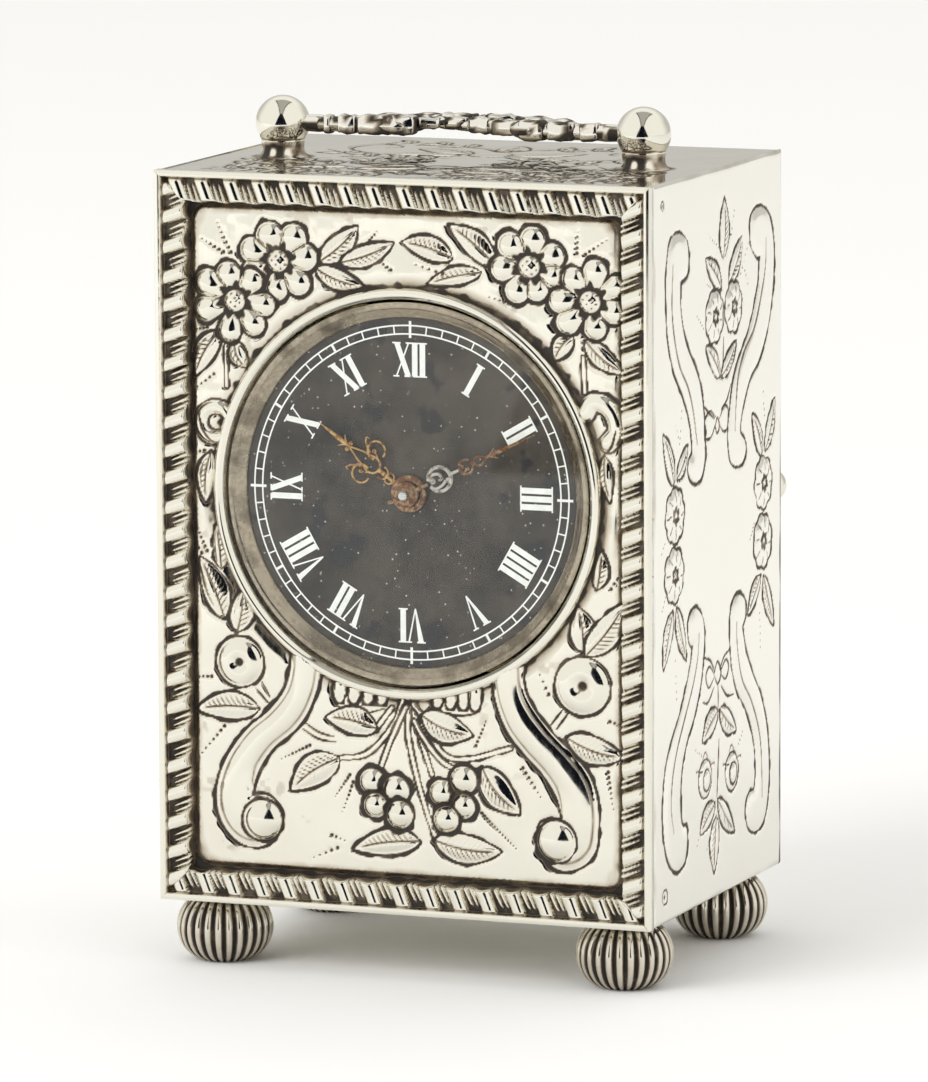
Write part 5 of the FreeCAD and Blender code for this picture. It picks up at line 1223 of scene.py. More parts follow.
def side_wall(side):
    """Engraved outer sheet of the right or left side; the left repeats the right in mirror image."""
    low, high = FACE_FRONT_EDGE, FACE_BACK_EDGE
    sheet = Sheet(low, high, 0.20, BASE_Z + 0.02, TOP_Z - 0.02, 0.20, 31 + side)
    sheet.height += 0.03 * sheet.slow + 0.004 * sheet.hand
    side_motifs(sheet)
    sheet.soften()
    edge, from_back = sheet.edge(), high - sheet.u
    height = np.clip(sheet.height, -0.12, 0.2) * smooth(0.0, 0.6, edge) - rolled(edge, 0.22, 0.5)
    near = np.minimum(edge, from_back + 9 * (sheet.u < 0))
    worn = 0.35 * bell(near, 0.7) * (0.5 + 0.5 * sheet.slow)
    # Painted dark reflection in a band along the lower back edge.
    painted_reflection = 0.85 * smooth(0.35, -0.15, from_back - 0.55 - 0.4 * sheet.slow) * smooth(66, 50, sheet.w)
    dark = np.maximum(sheet.dark, np.clip(np.maximum(worn, painted_reflection), 0, 1))
    surface = np.stack([side * (SIDE_X + height), sheet.u + SHIFT, sheet.w], -1)
    if side < 0:
        surface, dark = surface[:, ::-1], dark[:, ::-1]
    keep = np.ones(sheet.u.shape, bool)
    solid = sheet_solid(surface, keep, lambda p: (side * (CASE_HIGH[0] - 0.05), p[1], p[2]), dark)
    solid.piece("side_wall_right" if side > 0 else "side_wall_left", "case", "silver", SILVER_SIDE_PAINTED_LIGHT)


# The top's motifs for the right half; each is laid on the left half too.
TOP_LEAVES = [((2.0, -9.5), (9.5, -13.0), 3.6), ((3.0, -7.5), (11.5, -7.0), 3.4),
              ((10.5, -10.5), (16.5, -13.5), 2.8), ((2.4, 6.0), (10.0, 10.0), 3.6),
              ((3.0, 4.0), (11.5, 3.6), 3.2)]
TOP_CUTS = [[(12.0, -5.0), (15.5, -6.5), (18.5, -10.5), (17.0, -14.5), (13.5, -15.0), (12.6, -12.8),
             (14.2, -11.6)],
            [(12.0, 3.0), (15.5, 5.0), (18.0, 9.0), (16.5, 12.5), (13.5, 12.6), (12.8, 10.6), (14.0, 9.6)]]
MIDDLE_CUTS = [[(-6.0, -15.5), (-3.0, -14.0), (0.0, -16.2), (3.0, -14.0), (6.0, -15.5)],
               [(-5.0, 13.6), (-2.6, 12.0), (0.0, 9.6), (2.6, 12.0), (5.0, 13.6)]]
TOP_BRANCHES = [([(1.5, -12.5), (4.5, -16.6), (9.0, -18.2), (13.5, -17.2)], 3.0),
                ([(2.8, -4.6), (7.0, -3.0), (12.0, -4.6), (16.0, -8.2), (20.5, -11.5), (24.5, -12.5)], 3.2),
                ([(12.4, -14.2), (16.5, -16.8), (21.0, -17.2), (25.2, -15.8)], 2.8),
                ([(16.2, -2.2), (20.4, -6.8), (24.4, -8.0)], 2.6),
                ([(4.0, 12.4), (9.0, 15.6), (15.5, 16.4)], 3.0),
                ([(3.0, 1.0), (8.5, 0.4), (14.5, 1.6), (20.0, 6.4)], 3.0)]


def spray(sheet, path, size, high):
    """A leafy branch and its mirror image."""
    line = curve(path, 6)
    for mirror in (-1, 1):
        flipped = line * (mirror, 1)
        sheet.cut(flipped, 0.24, 0.13)
        steps = np.diff(flipped, axis=0)
        for k in range(2, len(steps), 4):
            way = steps[k] / np.hypot(*steps[k])
            for side in (-1, 1):
                tip = flipped[k] + size * (0.75 * way + side * 0.8 * np.array([-way[1], way[0]]))
                sheet.leaf(flipped[k] + 0.2 * way, tip, 0.46 * size, high, 0.16)


def double_cut(sheet, path):
    """An engraved line with a finer one beside it."""
    sheet.cut(path, 0.26, 0.13)
    sheet.cut([(x * 1.04, y + 0.7) for x, y in path], 0.12, 0.07, 0.7)


def top_plate():
    """Engraved sheet of the top, with painted shade round the finials' feet."""
    sheet = Sheet(-TOP_HALF, TOP_HALF, 0.22, FACE_FRONT_EDGE, FACE_BACK_EDGE, 0.22, 57)
    sheet.height += 0.03 * sheet.slow + 0.003 * sheet.hand
    sheet.dome((0.0, -9.6), 3.1, 0.12, 0.72, line=0.3)
    sheet.dome((0.0, -9.6), 2.0, 0.14, 0.72, line=0.3)
    sheet.dome((0.0, 6.2), 2.4, 0.12, 1.0, line=0.3)
    for base, tip, wide in TOP_LEAVES:
        for side in (-1, 1):
            sheet.leaf((side * base[0], base[1]), (side * tip[0], tip[1]), wide, 0.18, 0.12, 0.36)
    sheet.leaf((0.0, 10.0), (0.0, 16.0), 3.4, 0.18, 0.12, 0.36)
    for path in TOP_CUTS:
        for side in (-1, 1):
            double_cut(sheet, [(side * x, y) for x, y in path])
    for path in MIDDLE_CUTS:
        double_cut(sheet, path)
    for path, size in TOP_BRANCHES:
        spray(sheet, path, size, 0.16)
    for side in (-1, 1):
        for k in range(9):
            a = math.radians(20 + 17 * k)
            start = np.array([side * (13.0 + 7.2 * math.cos(a)), -8.8 - 5.6 * math.sin(a)])
            sheet.dots(start, start * 0.93, 4, 0.12, 0.22, 0.09)
        sheet.dots((9.0 * side, -16.6), (10.8 * side, -13.8), 6, 0.12, 0.24, 0.09)
        sheet.dots((18.0 * side, 15.0), (15.0 * side, 13.4), 6, 0.12, 0.24, 0.09)
    sheet.soften()
    edge = sheet.edge()
    height = np.clip(sheet.height, -0.095, 0.2) * smooth(0.0, 0.6, edge) - rolled(edge, 0.1, 0.4)
    near = np.hypot(np.abs(sheet.u) - FINIAL_X, sheet.w - FINIAL_DEPTH)
    # Painted shade on the plate round each finial's foot.
    dark = np.maximum(sheet.dark, 0.75 * smooth(4.2, 3.1, near))
    surface = np.stack([sheet.u, sheet.w + SHIFT, CASE_HIGH[2] + 0.10 + height], -1)
    keep = np.ones(sheet.u.shape, bool)
    solid = sheet_solid(surface, keep, lambda p: (p[0], p[1], CASE_HIGH[2] - 0.03), dark)
    solid.piece("top_plate", "case", "silver", SILVER_TOP_PAINTED_SHADE)


def door_face():
    """Engraved outer face of the back door: ruled frame, corner sprays and an empty oval."""
    low, high = node_box("back_door")
    margin, hinge_margin = 0.9, 3.4
    x0, x1, z0, z1 = low[0] + hinge_margin, high[0] - margin, low[2] + margin, high[2] - margin
    x, z, back = 0.5 * (x0 + x1), 0.5 * (z0 + z1), high[1]
    sheet = Sheet(x0 - x, x1 - x, 0.22, z0 - z, z1 - z, 0.22, 83)
    wide, tall = sheet.us[-1], sheet.ws[-1]
    sheet.height += 0.02 * sheet.slow
    for inset, width in ((1.2, 0.26), (2.0, 0.14)):
        u, w = wide - inset, tall - inset
        corners = [(-u, -w), (u, -w), (u, w), (-u, w), (-u, -w)]
        for start, end in zip(corners[:-1], corners[1:]):
            sheet.cut([start, end], width, 0.09, 0.9, 0.05)
    for a in np.radians(np.arange(0, 360, 6)):
        at = np.array([10.5 * math.cos(a), 14.0 * math.sin(a)])
        sheet.dots(at, at * 1.07, 2, 0.14, 0.24, 0.08)
    oval = [(9.3 * math.cos(t), 12.6 * math.sin(t)) for t in np.linspace(0, 2 * math.pi, 33)]
    sheet.cut(oval, 0.22, 0.09, 0.9, 0.0)
    for end in (-1, 1):
        path = [(-2.0, 27.0 * end), (-7.0, 29.5 * end), (-13.5, 28.0 * end), (-17.5, 22.0 * end)]
        spray(sheet, path, 3.4, 0.13)
    for at in ((0.0, 20.5), (0.0, -20.5)):
        rose(sheet, at, 3.2)
        for side in (-1, 1):
            sheet.leaf((3.0 * side, at[1]), (8.4 * side, at[1] * 0.93), 2.8, 0.14, 0.1)
    sheet.soften()
    edge = sheet.edge()
    lift = np.clip(sheet.height, -0.07, 0.14) * smooth(0.0, 0.5, edge) - 0.06 * smooth(0.35, 0.0, edge)
    knob = 0.5 * sum(node_box("door_knob"))
    clear = np.hypot(sheet.u + x - knob[0], sheet.w + z - knob[2]) > 1.35
    surface = np.stack([sheet.u + x, back + 0.10 + lift, sheet.w + z], -1)[:, ::-1]
    solid = sheet_solid(surface, clear[:, ::-1], lambda p: (p[0], back - 0.03, p[2]), sheet.dark[:, ::-1])
    solid.piece("door_face", "door", "silver", SILVER_SIDE_PAINTED_LIGHT)


# ---------------------------------------------------------------- hands

HOUR_ANGLE, MINUTE_ANGLE = 305.35, 64.2     # clockwise from twelve, in degrees
HOUR_Y, MINUTE_Y = SHIFT - 19.825, SHIFT - 20.62        # middle planes of the two hands
ARBOR_HOLE = 0.92                           # radius of the hole in the minute hand's hub
BEAD = [(0.0, -1.0), (0.45, -0.88), (0.8, -0.55), (1.0, 0.0), (0.8, 0.55), (0.45, 0.88), (0.0, 1.0)]


class Hand(Solid):
    """Filed bars and beads in one flat plane; points are (across, outwards) on the hand."""

    def __init__(self, angle, y):
        super().__init__()
        self.angle, self.y = angle, y

    def on_hand(self, points):
        """Points on the hand to places in the frame."""
        flat = radial(points, self.angle / 30)
        return np.column_stack([flat[:, 0], np.full(len(flat), self.y), flat[:, 1]])

    def wire(self, points, half, thick=0.11):
        """A flat bar along a curve; half is its half width, from start to end."""
        path, sides = curve(points, 6), 8
        half = np.interp(np.linspace(0, 1, len(path)), np.linspace(0, 1, len(half)), half)
        line = self.on_hand(path)
        points3, faces = tube(line, half, sides, 1.0, (0, 1, 0))
        middle = np.repeat(line, sides, axis=0)
        offset = points3 - middle
        offset[:, 1] = offset[:, 1] / np.repeat(half, sides) * thick
        self.add(middle + offset, faces)

    def bead(self, at, r, thick):
        """A flattened ball."""
        points, faces, _ = lathe(BEAD, (0, 0), "y", 14)
        self.add(points * np.array([r, thick, r]) + self.on_hand([at])[0], faces)

    def hub(self, rows):
        """A turned ring round the arbor from (radius, case depth) rows."""
        self.add(*lathe([(r, SHIFT + y) for r, y in rows], (0, DIAL_Z), "y", 72, True))


def ring_path(centre, r, start, end, squash=1.0):
    """Thirteen points along an arc, from start to end in degrees."""
    a = np.radians(np.linspace(start, end, 13))
    return [(centre[0] + r * math.cos(t), centre[1] + squash * r * math.sin(t)) for t in a]


def hour_hand():
    """Pierced hour hand with paired scrolls, and its rusted hub as a piece of its own."""
    disc = Hand(HOUR_ANGLE, HOUR_Y)
    disc.hub([(1.12, -19.62), (1.12, -20.0), (1.2, -20.05), (1.5, -20.05), (1.62, -19.97), (1.85, -19.97),
              (2.02, -19.93), (2.1, -19.86), (2.1, -19.66), (2.05, -19.62)])
    disc.piece("hour_hub", "hour_group", "gilt_hands", HUB_RUST)
    hand = Hand(HOUR_ANGLE, HOUR_Y)
    hand.wire([(0, 1.9), (0, 2.6), (0, 3.4)], [0.28, 0.2, 0.24])
    for s in (-1, 1):
        hand.wire([(0.05 * s, 2.2), (0.55 * s, 2.5), (0.62 * s, 3.0), (0.3 * s, 3.15)], [0.12, 0.1, 0.08])
        hand.wire([(0.0, 3.1), (0.5 * s, 3.35), (0.75 * s, 3.8)], [0.12, 0.1, 0.06])
        hand.bead((0.72 * s, 3.9), 0.16, 0.16)
        hand.wire([(0.12 * s, 4.3), (0.75 * s, 4.75), (0.95 * s, 5.4), (0.75 * s, 6.1), (0.62 * s, 6.9),
                   (0.3 * s, 7.9), (0.0, 8.7)], [0.13, 0.15, 0.14, 0.13, 0.12, 0.11, 0.11])
        start, end = (200, -95) if s > 0 else (-20, 275)
        hand.wire(ring_path((1.62 * s, 5.85), 1.05, start, end), [0.17, 0.15, 0.13, 0.12, 0.12])
        hand.wire([(0.95 * s, 6.3), (1.5 * s, 7.25), (2.1 * s, 7.65), (2.25 * s, 7.3)],
                  [0.12, 0.12, 0.1, 0.05])
        hand.bead((1.42 * s, 6.0), 0.27, 0.15)
        hand.wire([(1.42 * s, 6.0), (1.2 * s, 5.5), (1.0 * s, 5.2)], [0.08, 0.08, 0.08])
        hand.bead((0.42 * s, 8.75), 0.26, 0.14)
        hand.wire([(0.05 * s, 9.1), (0.3 * s, 9.45), (0.75 * s, 9.85)], [0.14, 0.12, 0.05])
    hand.wire([(0.0, 3.5), (0.0, 4.0), (0.0, 4.5)], [0.3, 0.22, 0.3], 0.14)
    hand.wire([(0.0, 8.6), (0.0, 9.2), (0.0, 10.2), (0.0, 11.5), (0.0, 13.25)], [0.14, 0.22, 0.3, 0.2, 0.03])
    hand.piece("hand_of_hours", "hour_group", "gilt_hands", HAND_RUST, ["hour_hand"])


def minute_hand():
    """Slender minute hand, with a pale corroded scroll near its hub as a piece of its own."""
    hand = Hand(MINUTE_ANGLE, MINUTE_Y)
    hand.hub([(ARBOR_HOLE, -20.36), (ARBOR_HOLE, -20.84), (1.2, -20.86), (1.36, -20.82), (1.45, -20.72),
              (1.45, -20.42), (1.38, -20.36)])
    hand.wire([(0, 1.3), (0, 2.2), (0, 2.9)], [0.3, 0.2, 0.22])
    hand.wire([(0, -1.3), (0, -1.75), (0, -2.1)], [0.2, 0.14, 0.14])
    hand.bead((0, -2.2), 0.24, 0.14)
    hand.wire(ring_path((0.0, 7.95), 0.82, -110, 110), [0.14, 0.15, 0.15, 0.13])
    hand.wire(ring_path((0.0, 7.95), 0.82, 130, 235), [0.13, 0.14, 0.14])
    hand.wire([(0.15, 7.1), (0.42, 7.45), (0.36, 7.85), (0.08, 7.9)], [0.12, 0.11, 0.1])
    hand.bead((-0.2, 7.55), 0.24, 0.14)
    hand.bead((0.3, 8.1), 0.2, 0.13)
    for s in (-1, 1):
        hand.wire([(0.0, 8.95), (0.42 * s, 9.35), (0.46 * s, 9.85), (0.12 * s, 10.5), (0.0, 10.75)],
                  [0.14, 0.13, 0.13, 0.11, 0.11])
        hand.wire([(0.05 * s, 11.1), (0.28 * s, 11.5), (0.62 * s, 11.95)], [0.13, 0.11, 0.04])
    hand.wire([(0.0, 10.6), (0.0, 11.2), (0.0, 12.4), (0.0, 14.5), (0.0, 17.15)],
              [0.12, 0.2, 0.25, 0.19, 0.03])
    hand.piece("hand_of_minutes", "minute_group", "gilt_hands", HUB_RUST, ["minute_hand"])
    bloom = Hand(MINUTE_ANGLE, MINUTE_Y)
    bloom.wire(ring_path((0.0, 4.45), 1.35, -75, 255, 1.05), [0.2, 0.24, 0.26, 0.24, 0.2], 0.13)
    bloom.wire([(-0.3, 3.15), (-0.75, 3.8), (-0.55, 4.6), (0.05, 4.75), (0.1, 4.3)],
               [0.2, 0.22, 0.2, 0.14], 0.13)
    bloom.wire([(0.3, 3.2), (0.8, 3.6), (0.75, 4.5), (0.35, 5.3), (0.6, 5.9)], [0.2, 0.2, 0.18, 0.16], 0.13)
    bloom.wire([(0.0, 5.8), (0.0, 6.4), (0.0, 7.2)], [0.22, 0.2, 0.16], 0.12)
    bloom.bead((0.55, 5.35), 0.3, 0.15)
    bloom.bead((-0.1, 3.6), 0.4, 0.15)
    bloom.piece("hand_of_minutes_bloom", "minute_group", "gilt_hands", PALE_RUST)


# ---------------------------------------------------------------- carrying handle

# Cast blocks of the band: across, outwards, lift, half sizes, turn in degrees.
HANDLE_BLOCKS = [(-16.1, 0.0, 0.0, (0.42, 1.02, 1.08), 0), (-13.8, 0.1, 0.0, (1.15, 1.05, 1.08), 3),
                 (-10.4, -0.05, 0.05, (2.1, 1.1, 1.12), -3), (-6.9, 0.05, 0.12, (1.4, 1.1, 1.12), 6),
                 (-4.5, 1.3, 0.3, (1.3, 0.9, 0.6), 24), (-1.8, 3.2, 0.3, (1.4, 0.7, 0.65), 4),
                 (1.2, 3.0, 0.1, (1.4, 0.75, 0.95), -4), (4.9, 1.1, 0.1, (2.2, 0.95, 0.85), -20),
                 (8.7, -0.2, 0.0, (1.6, 1.1, 1.18), -3), (12.1, 0.0, 0.02, (1.75, 1.08, 1.08), 3),
                 (15.5, 0.0, 0.0, (1.2, 1.0, 1.02), 0), (-2.4, 5.7, 0.55, (2.2, 0.9, 0.55), -6),
                 (2.6, 5.6, 0.55, (2.0, 0.9, 0.55), 8)]


def swell(value, power):
    """A signed power; below 1 it squares off a round shape."""
    return np.sign(value) * np.abs(value) ** power


class Casting(Solid):
    """Scrolls, blocks, balls and leaves of the handle, about its pivots, with outwards as second value."""

    def __init__(self):
        super().__init__()
        low, high = node_box("handle")
        self.z = 0.5 * (low[2] + high[2])
        self.half = 0.5 * (high[2] - low[2]) + 0.25
        self.y = SHIFT + FINIAL_DEPTH

    def block(self, x, v, lift, sizes, turn):
        """A rounded box turned about the upright, dark towards its ends."""
        rows, cols, power = 15, 28, 0.38
        lat = np.linspace(-math.pi / 2, math.pi / 2, rows)[:, None]
        lon = (np.arange(cols) * 2 * math.pi / cols)[None, :]
        girth = swell(np.cos(lat), power)
        local = np.stack([girth * swell(np.cos(lon), power) * sizes[0],
                          girth * swell(np.sin(lon), power) * sizes[1],
                          swell(np.sin(lat), power) * np.ones(lon.shape) * sizes[2]], -1).reshape(-1, 3)
        local[:, 2] += 0.07 * np.sin(3.1 * local[:, 0] + 2 * x) + 0.05 * np.sin(5.3 * local[:, 0] + x)
        a = math.radians(turn)
        points = np.column_stack([x + local[:, 0] * math.cos(a) - local[:, 1] * math.sin(a),
                                  self.y + v + local[:, 0] * math.sin(a) + local[:, 1] * math.cos(a),
                                  self.z + lift + local[:, 2]])
        worn = lattice_noise(points[:, 0], points[:, 2] * 1.3 + v, 0.9, 6)
        ends = smooth(0.80, 0.97, np.abs(local[:, 0]) / sizes[0])
        # Painted shade on the block's underside.
        under = smooth(-0.35, -0.95, local[:, 2] / sizes[2])
        self.add(points, ring_faces(rows, cols),
                 np.clip(0.9 * ends + 0.85 * under + 0.95 * smooth(0.22, 0.40, worn), 0, 1))

    def rod(self, points, radii, flatten=1.0, sides=14, waves=0):
        """A rod along a curve whose radius changes, with waves for a knotted look."""
        path = curve(points, 8)
        share = np.linspace(0, 1, len(path))
        r = np.interp(share, np.linspace(0, 1, len(radii)), radii)
        r = r * (1 + 0.13 * np.sin(2 * math.pi * waves * share))
        line = np.column_stack([path[:, 0], self.y + path[:, 1], np.full(len(path), self.z)])
        pts, faces = tube(line, r, sides, flatten, (0, 0, 1))
        patches = lattice_noise(pts[:, 0] + 0.7 * pts[:, 1], pts[:, 2] * 1.6, 1.1, 5)
        # Painted shade on the lower half of the rod.
        under = smooth(0.1, -0.7, (pts[:, 2] - self.z) / self.half)
        self.add(pts, faces, np.clip(0.95 * smooth(0.18, 0.42, patches) + 0.75 * under, 0, 1))

    def ball(self, x, v, r, squash, lift):
        """A ball, squashed along the upright."""
        rows = [(math.cos(t) * r if abs(t) < 1.57 else 0.0, math.sin(t) * r * squash)
                for t in np.linspace(-math.pi / 2, math.pi / 2, 11)]
        pts, faces, _ = lathe(rows, (x, self.y + v), "z", 20)
        pts[:, 2] += self.z + lift
        self.add(pts, faces)

    def leaf(self, start, end, wide, high, lift):
        """Leaf laid on the band, with a groove down its middle."""
        start, end = np.array(start), np.array(end)
        length = np.hypot(*(end - start))
        axis = (end - start) / length
        normal = np.array([-axis[1], axis[0]])
        n, m = 15, 11
        rows, dark = [], []
        for s in np.linspace(0, 1, n):
            w = 0.5 * wide * math.sin(math.pi * min(max(s, 0.02), 0.98) ** 0.8) ** 0.8
            for t in np.linspace(-1, 1, m):
                p = start + axis * s * length + normal * t * w
                up = high * (1 - abs(t) ** 2.2) * math.sin(math.pi * min(max(s, 0.03), 0.97)) ** 0.5
                up -= 0.14 * math.exp(-(t / 0.14) ** 2)
                rows.append((p[0], self.y + p[1], self.z + lift + up))
                dark.append(0.9 * math.exp(-(t / 0.16) ** 2) + 0.5 * (abs(t) > 0.95))
        top = np.array(rows)
        under = top.copy()
        under[:, 2] = self.z + lift - 0.45
        down, last = n * m, (n - 1) * m
        faces = ring_faces(n, m, False, False)
        faces = [f[::-1] for f in faces] + [tuple(i + down for i in f) for f in faces]
        for j in range(m - 1):
            faces.append((j, j + 1, j + 1 + down, j + down))
            faces.append((last + j + 1, last + j, last + j + down, last + j + 1 + down))
        for i in range(0, last, m):
            faces.append((i + m, i, i + down, i + m + down))
            faces.append((i + m - 1, i + 2 * m - 1, i + 2 * m - 1 + down, i + m - 1 + down))
        self.add(np.vstack([top, under]), faces, np.array(dark + [0.0] * down))


def handle_piece():
    """The bail: knotted scrolls on both sides, cast blocks, and leaves laid over them."""
    cast = Casting()
    for s in (-1, 1):
        cast.rod([(20.4 * s, 0), (18.8 * s, 0), (17.4 * s, 0), (16.2 * s, 0)], [0.78, 0.95, 1.02, 0.9])
        cast.rod([(15.9 * s, 0), (15.3 * s, 0), (14.2 * s, 0.05), (12.4 * s, 0.4)], [0.9, 0.86, 0.95, 1.0])
        cast.rod([(12.6 * s, 0.6), (10.8 * s, 0.1), (8.6 * s, -0.1), (6.8 * s, 0.4), (6.1 * s, 1.9),
                  (7.4 * s, 2.9), (8.7 * s, 2.2)], [0.95, 1.2, 1.3, 1.2, 1.0, 0.8, 0.5], 0.74, 14, 3)
        cast.ball(8.4 * s, 2.2, 0.8, 0.8, 0.35)
        cast.rod([(12.6 * s, 0.9), (12.3 * s, 2.6), (10.8 * s, 4.4), (8.6 * s, 5.4), (6.2 * s, 5.2),
                  (5.2 * s, 4.0)], [0.95, 1.15, 1.3, 1.35, 1.05, 0.55], 0.7, 14, 3)
        cast.rod([(11.2 * s, 4.2), (8.8 * s, 6.2), (5.8 * s, 7.1), (2.8 * s, 7.0), (0.0, 6.8)],
                 [0.8, 1.25, 1.45, 1.4, 1.5], 0.62, 14, 3)
        cast.rod([(5.2 * s, 6.6), (3.4 * s, 5.2), (2.6 * s, 4.0), (3.5 * s, 3.2), (4.5 * s, 3.9)],
                 [0.95, 0.98, 0.85, 0.66, 0.4], 0.8, 12)
        cast.ball(4.2 * s, 4.0, 0.66, 0.8, 0.3)
        cast.rod([(2.8 * s, 4.4), (1.6 * s, 3.6), (0.0, 3.3)], [0.7, 0.85, 0.95], 0.8, 12)
        cast.leaf((12.0 * s, 2.0), (7.6 * s, 6.0), 1.9, 0.3, 0.5)
        cast.leaf((7.9 * s, 6.2), (3.2 * s, 7.4), 1.9, 0.3, 0.5)
        cast.leaf((11.8 * s, 0.5), (7.2 * s, 0.1), 1.7, 0.3, 0.55)
        cast.leaf((6.1 * s, 6.9), (6.8 * s, 8.3), 1.4, 0.3, 0.2)
        cast.rod([(9.4 * s, 5.6), (10.6 * s, 6.3), (10.4 * s, 7.1), (9.4 * s, 7.0)],
                 [0.7, 0.7, 0.55, 0.35], 0.9, 10)
    for block in HANDLE_BLOCKS:
        cast.block(*block)
    cast.rod([(-2.2, 7.5), (-1.1, 7.7), (0.0, 7.6), (1.1, 7.7), (2.2, 7.5)], [0.6, 0.75, 0.8, 0.75, 0.6], 0.9)
    cast.leaf((-0.1, 5.4), (-2.4, 7.9), 1.6, 0.3, 0.5)
    cast.leaf((0.1, 5.4), (2.4, 7.9), 1.6, 0.3, 0.5)
    cast.leaf((0.0, 5.0), (0.0, 8.1), 1.6, 0.35, 0.55)
    for points in cast.points:
        points[:, 2] = np.clip(points[:, 2], cast.z - cast.half, cast.z + cast.half)
    cast.piece("carrying_handle", "bail", "silver", SILVER_HANDLE, ["handle"])


# ---------------------------------------------------------------- scene

KEY_POWER, TOP_POWER = 17.0, 12.0       # watts of the two soft boxes
SLIT_AZIMUTH = 14.0              # middle of the gap between the tent's two white sides, degrees


def stage_and_light():
    """Pale paper floor, the tent round it and two soft boxes that no surface mirrors."""
    bpy.ops.mesh.primitive_plane_add(size=6.0, location=(0, 2.32, 0))
    floor = bpy.context.object
    floor.name = "studio_floor"
    material, tree, out = new_material("studio_paper")
    shader = principled(tree, out)
    tint = noise_node(tree, object_vector(tree), 3.0, 2.0)
    paper = mix_colour(tree, tint, (0.93, 0.93, 0.93), (0.95, 0.95, 0.95))
    tree.links.new(paper, shader.inputs["Base Color"])
    shader.inputs["Roughness"].default_value = 0.9
    shader.inputs["Specular IOR Level"].default_value = 0.1
    floor.data.materials.append(material)

    world = bpy.data.worlds.new("studio")
    bpy.context.scene.world = world
    world.use_nodes = True
    tent_world(world.node_tree)
    lamp("key_softbox", (-0.8, -1.5, 1.05), (0, 0, 0.03), 1.1, KEY_POWER)
    lamp("top_softbox", (0.0, 0.7, 3.2), (0, 0.5, 0.0), 2.6, TOP_POWER)


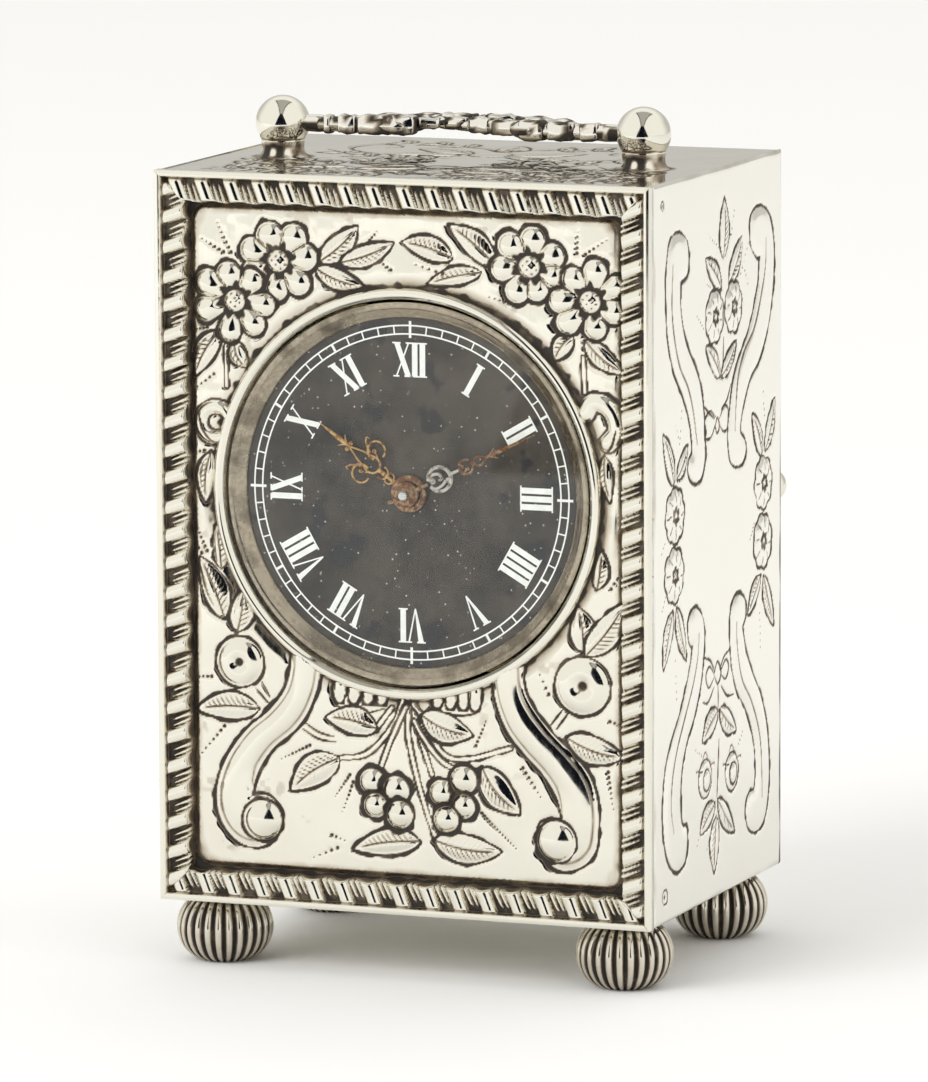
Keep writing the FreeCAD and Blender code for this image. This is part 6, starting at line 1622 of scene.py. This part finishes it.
def tent_world(tree):
    """White tent: a dark slit on the front side, a black-edged grey board above, a grey room behind."""
    tree.nodes.clear()
    out = tree.nodes.new("ShaderNodeOutputWorld")
    back = tree.nodes.new("ShaderNodeBackground")
    coords = tree.nodes.new("ShaderNodeTexCoord")
    turn = tree.nodes.new("ShaderNodeMapping")
    turn.vector_type = "VECTOR"
    turn.inputs["Rotation"].default_value = (0.0, 0.0, math.radians(90 - SLIT_AZIMUTH))
    tree.links.new(coords.outputs["Generated"], turn.inputs["Vector"])
    split = tree.nodes.new("ShaderNodeSeparateXYZ")
    tree.links.new(turn.outputs["Vector"], split.inputs["Vector"])
    x, y, z = (split.outputs[k] for k in range(3))
    turned = math_node(tree, "ABSOLUTE", math_node(tree, "ARCTAN2", y, x), 0.0)
    climb = math_node(tree, "ARCSINE", z, 0.0)
    width = ramp_node(tree, climb, -0.40, 0.70, 0.56, 0.12)
    inside = ramp_node(tree, math_node(tree, "SUBTRACT", width, turned), -0.006, 0.006)
    below = ramp_node(tree, climb, 0.68, 0.72, 1.0, 0.0)
    slit = math_node(tree, "MULTIPLY", inside, below)
    board_width = ramp_node(tree, x, 0.77, -0.42, 0.12, 0.38)
    lateral = math_node(tree, "ABSOLUTE", y, 0.0)
    board = ramp_node(tree, math_node(tree, "SUBTRACT", board_width, lateral), -0.004, 0.004)
    board = math_node(tree, "MULTIPLY", board, ramp_node(tree, z, 0.63, 0.65))
    board = math_node(tree, "MULTIPLY", board, ramp_node(tree, x, -0.42, -0.38))
    inner = ramp_node(tree, math_node(tree, "SUBTRACT", board_width, lateral), 0.035, 0.05)
    low_down = ramp_node(tree, climb, 0.75, 0.35)
    behind = math_node(tree, "MULTIPLY", ramp_node(tree, turned, 1.75, 2.35), low_down)
    room = mix_colour(tree, behind, (1.05, 1.04, 1.0), (0.62, 0.61, 0.575))
    line = mix_colour(tree, board, room, (0.03, 0.03, 0.03))
    grey = mix_colour(tree, math_node(tree, "MULTIPLY", board, inner), line, (0.47, 0.46, 0.43))
    black = mix_colour(tree, slit, grey, (0.006, 0.007, 0.012))
    path = tree.nodes.new("ShaderNodeLightPath")
    seen = mix_colour(tree, path.outputs["Is Camera Ray"], black, (1.0, 1.0, 1.0))
    tree.links.new(seen, back.inputs["Color"])
    tree.links.new(back.outputs["Background"], out.inputs["Surface"])


def lamp(name, place, target, size, power):
    light = bpy.data.lights.new(name, "AREA")
    light.size = size
    light.energy = power
    obj = bpy.data.objects.new(name, light)
    bpy.context.scene.collection.objects.link(obj)
    obj.location = place
    obj.rotation_euler = (Vector(target) - Vector(place)).to_track_quat("-Z", "Y").to_euler()
    obj.visible_glossy = False


CAM_TARGET = Vector((-1.05, -2.4, 46.88)) * MM
CAM_AZIMUTH, CAM_ELEVATION, CAM_ROLL = 21.132, 8.38, -0.24      # degrees
CAM_DISTANCE, CAM_LENS = 993.9 * MM, 290.31


def camera():
    """Long lens from the right of the front, a little above, with a trace of roll."""
    a, e, roll = (math.radians(v) for v in (CAM_AZIMUTH, CAM_ELEVATION, CAM_ROLL))
    out = Vector((math.sin(a) * math.cos(e), -math.cos(a) * math.cos(e), math.sin(e)))
    right = Vector((math.cos(a), math.sin(a), 0))
    up = out.cross(right)
    r = right * math.cos(roll) + up * math.sin(roll)
    u = up * math.cos(roll) - right * math.sin(roll)
    data = bpy.data.cameras.new("photo_camera")
    data.lens, data.sensor_width, data.sensor_fit = CAM_LENS, 36.0, "AUTO"
    data.clip_start, data.clip_end = 0.01, 50.0
    obj = bpy.data.objects.new("photo_camera", data)
    bpy.context.scene.collection.objects.link(obj)
    place = CAM_TARGET + out * CAM_DISTANCE
    obj.matrix_world = Matrix(((r.x, u.x, out.x, place.x), (r.y, u.y, out.y, place.y),
                               (r.z, u.z, out.z, place.z), (0, 0, 0, 1)))
    bpy.context.scene.camera = obj


paint_cad_nodes()
front_relief()
gadroon_border()
bezel()
dial_and_reflector()
numerals()
minute_track()
for way in (-1, 1):
    finial(way)
for foot_node in ("foot_front_left", "foot_front_right", "foot_back_left", "foot_back_right"):
    foot(foot_node)
for way in (-1, 1):
    side_wall(way)
top_plate()
door_face()
hour_hand()
minute_hand()
handle_piece()
stage_and_light()
camera()
bpy.context.scene.view_settings.view_transform = "Standard"
